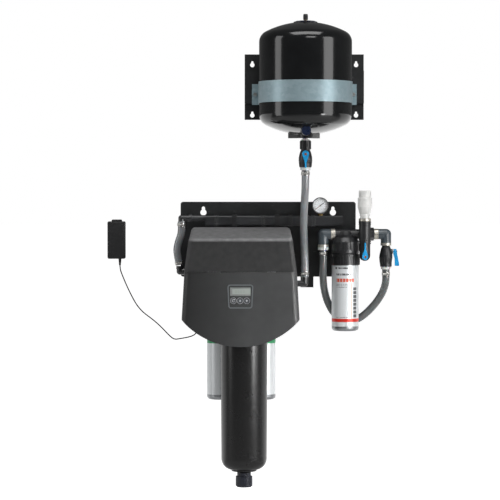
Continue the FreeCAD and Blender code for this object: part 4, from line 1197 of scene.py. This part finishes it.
@dataclass
class Gauge(Assembly):
    """The small pressure gauge on the back plate."""

    finishes: dict[str, Finish] = field(default_factory=lambda: {
        "gauge_case": TwoTone("polished case on a brass stem", (0.68, 0.68, 0.67), 0.12,
                              metallic=1.0, second=(0.62, 0.45, 0.2), axis=Axis.Z, low=-0.1,
                              high=-0.0028, second_metal=1.0, grain_height=0.000002),
        "gauge_lens": Lens("gauge glass", (0.95, 0.97, 0.97), 0.04),
        "gauge_dial": Dial("gauge dial", (0.93, 0.96, 0.98), 0.5, patches=0.02),
        "gauge_pointer": TwoTone("pointer red and black", (0.3, 0.008, 0.006), 0.4,
                                 second=(0.01, 0.01, 0.01), axis=Axis.X, low=0.1575, high=0.2),
    })


@dataclass
class PowerLead(Assembly):
    """The plug-in adapter, its thin lead and the gland under the control box."""

    lead_r: float = 0.00175
    route: tuple[Point, ...] = (
        (-0.216, -0.052, -0.354), (-0.219, -0.053, -0.368), (-0.231, -0.0545, -0.378),
        (-0.25, -0.055, -0.383), (-0.27, -0.055, -0.3865), (-0.289, -0.054, -0.3895),
        (-0.304, -0.053, -0.377), (-0.321, -0.052, -0.359), (-0.34, -0.05, -0.3405),
        (-0.361, -0.048, -0.3235), (-0.384, -0.045, -0.307), (-0.403, -0.043, -0.286),
        (-0.417, -0.041, -0.262), (-0.429, -0.039, -0.238), (-0.44, -0.037, -0.214),
        (-0.45, -0.035, -0.19), (-0.4555, -0.0335, -0.175), (-0.4563, -0.033, -0.162))
    finishes: dict[str, Finish] = field(default_factory=lambda: {
        "adapter_case": SplitCase("matte adapter case", (0.011, 0.011, 0.0115), 0.55,
                                  grain_scale=1900.0, grain_height=0.00004,
                                  extras=(("Specular IOR Level", 0.3),)),
        "adapter_blades": BrushedMetal("plated blades", (0.7, 0.66, 0.55), 0.25, metallic=1.0),
        "cord_gland": MOULD_BLACK,
    })

    def build(self) -> None:
        """Add the lead as a smooth curve, and the rings of its strain relief."""
        vinyl = Finish("vinyl lead", (0.007, 0.0065, 0.006), 0.5, grain_scale=2500.0,
                       extras=(("Specular IOR Level", 0.2),))
        curve = bpy.data.curves.new("power_lead", "CURVE")
        curve.dimensions, curve.bevel_depth, curve.bevel_resolution = "3D", self.lead_r, 6
        curve.use_fill_caps, curve.resolution_u = True, 10
        spline = curve.splines.new("NURBS")
        spline.points.add(len(self.route) - 1)
        for point, spot in zip(spline.points, self.route):
            point.co = (*spot, 1.0)
        spline.order_u = 3
        spline.use_endpoint_u = True
        lead = bpy.data.objects.new("power_lead", curve)
        bpy.context.scene.collection.objects.link(lead)
        self.add(lead, "frame", vinyl, "cord_grey")
        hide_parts("power_cord")
        for i in range(6):
            radius = 0.0031 + 0.0003 * i
            rib = turned(f"relief_rib_{i + 1}", [(radius - 0.0008, 0.0), (radius + 0.0003, 0.0003),
                                                 (radius + 0.0003, 0.0015),
                                                 (radius - 0.0008, 0.0018)],
                         (-0.4563, -0.033, -0.1605 + 0.0032 * i), Way.UP, 32)
            self.add(rib, "frame", self.finishes["adapter_case"], "black_plastic")


@dataclass
class Studio:
    """A pale floor, soft lights, white air and the camera."""

    floor_z: float = -1.05
    floor_reach: float = 60.0
    camera_at: Point = (-0.0561, -6.5, 0.07)
    tilt_down: float = 1.64
    lens: float = 151.4
    air_light: float = 0.11

    def floor(self) -> None:
        """Lay the pale floor."""
        mesh = bmesh.new()
        steps = [-self.floor_reach, -6.0, -2.0, 0.0, 2.0, 6.0, self.floor_reach]
        rows = [[mesh.verts.new((x, y, self.floor_z)) for x in steps] for y in steps]
        for before, after in zip(rows, rows[1:]):
            for i in range(len(steps) - 1):
                mesh.faces.new([before[i], before[i + 1], after[i + 1], after[i]])
        paper = settle("studio_floor", mesh, Matrix.Identity(4))
        paper.data.materials.append(
            StudioPaper("pale studio paper", (0.9, 0.9, 0.9), 0.9, patches=0.01).make())

    def light(self, name: str, at: Point, towards: Point, size: tuple[float, float],
              watts: float, spread: float = math.pi) -> None:
        """Hang a soft light.

        Args:
            name: Its name.
            at: Where it hangs.
            towards: What it points at.
            size: Its width and height.
            watts: Its power.
            spread: How wide its beam is, in radians.
        """
        lamp = bpy.data.lights.new(name, "AREA")
        lamp.shape, lamp.size, lamp.size_y, lamp.energy = "RECTANGLE", *size, watts
        lamp.spread = spread
        lamp_object = bpy.data.objects.new(name, lamp)
        lamp_object.location = at
        aim = Vector(towards) - Vector(at)
        lamp_object.rotation_euler = aim.to_track_quat("-Z", "Y").to_euler()
        bpy.context.scene.collection.objects.link(lamp_object)

    def build(self) -> None:
        """Set up the floor, the lights, the air and the camera."""
        self.floor()
        middle = (0.0, -0.15, -0.1)
        self.light("left softbox", (-2.4, -1.0, 0.6), middle, (0.8, 2.6), 20)
        self.light("right softbox", (2.7, -1.9, 0.5), middle, (1.4, 2.6), 48)
        self.light("top softbox", (0.1, -1.3, 2.8), middle, (2.6, 1.4), 62)
        self.light("front softbox", (1.3, -5.6, 2.9), middle, (2.2, 1.2), 50)
        self.light("panel softbox", (0.95, -1.15, -0.2), (0.02, -0.29, -0.3), (0.2, 0.7), 1.3,
                   math.radians(50))
        world = bpy.data.worlds.new("studio air")
        air = Shader(world.name, world)
        seen = Expr(air, air.add("ShaderNodeLightPath").outputs["Is Camera Ray"])
        air.feed(air.surface.inputs["Color"], (1.0, 1.0, 1.0))
        air.feed(air.surface.inputs["Strength"], seen * (1 - self.air_light) + self.air_light)
        scene = bpy.context.scene
        scene.world = world
        scene.view_settings.view_transform = "Standard"
        lens = bpy.data.cameras.new("camera")
        lens.lens, lens.sensor_width = self.lens, 36
        camera = bpy.data.objects.new("camera", lens)
        camera.location = self.camera_at
        camera.rotation_euler = (math.radians(90 - self.tilt_down), 0, 0)
        scene.collection.objects.link(camera)
        scene.camera = camera


def main() -> None:
    """Load the frame, dress and finish every sub-assembly and set the studio."""
    logging.basicConfig(level=logging.INFO, format="%(name)s: %(message)s")
    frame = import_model()
    made: dict[str, bpy.types.Material] = {}
    for assembly in (StorageTank(), Housing(), Canisters(), Membrane(), Plumbing(), Gauge(),
                     PowerLead()):
        assembly.made = made
        assembly.dress(frame["nodes"])
        assembly.build()
        log.info("%s done", type(assembly).__name__)
    Studio().build()


if __name__ == "__main__":
    main()
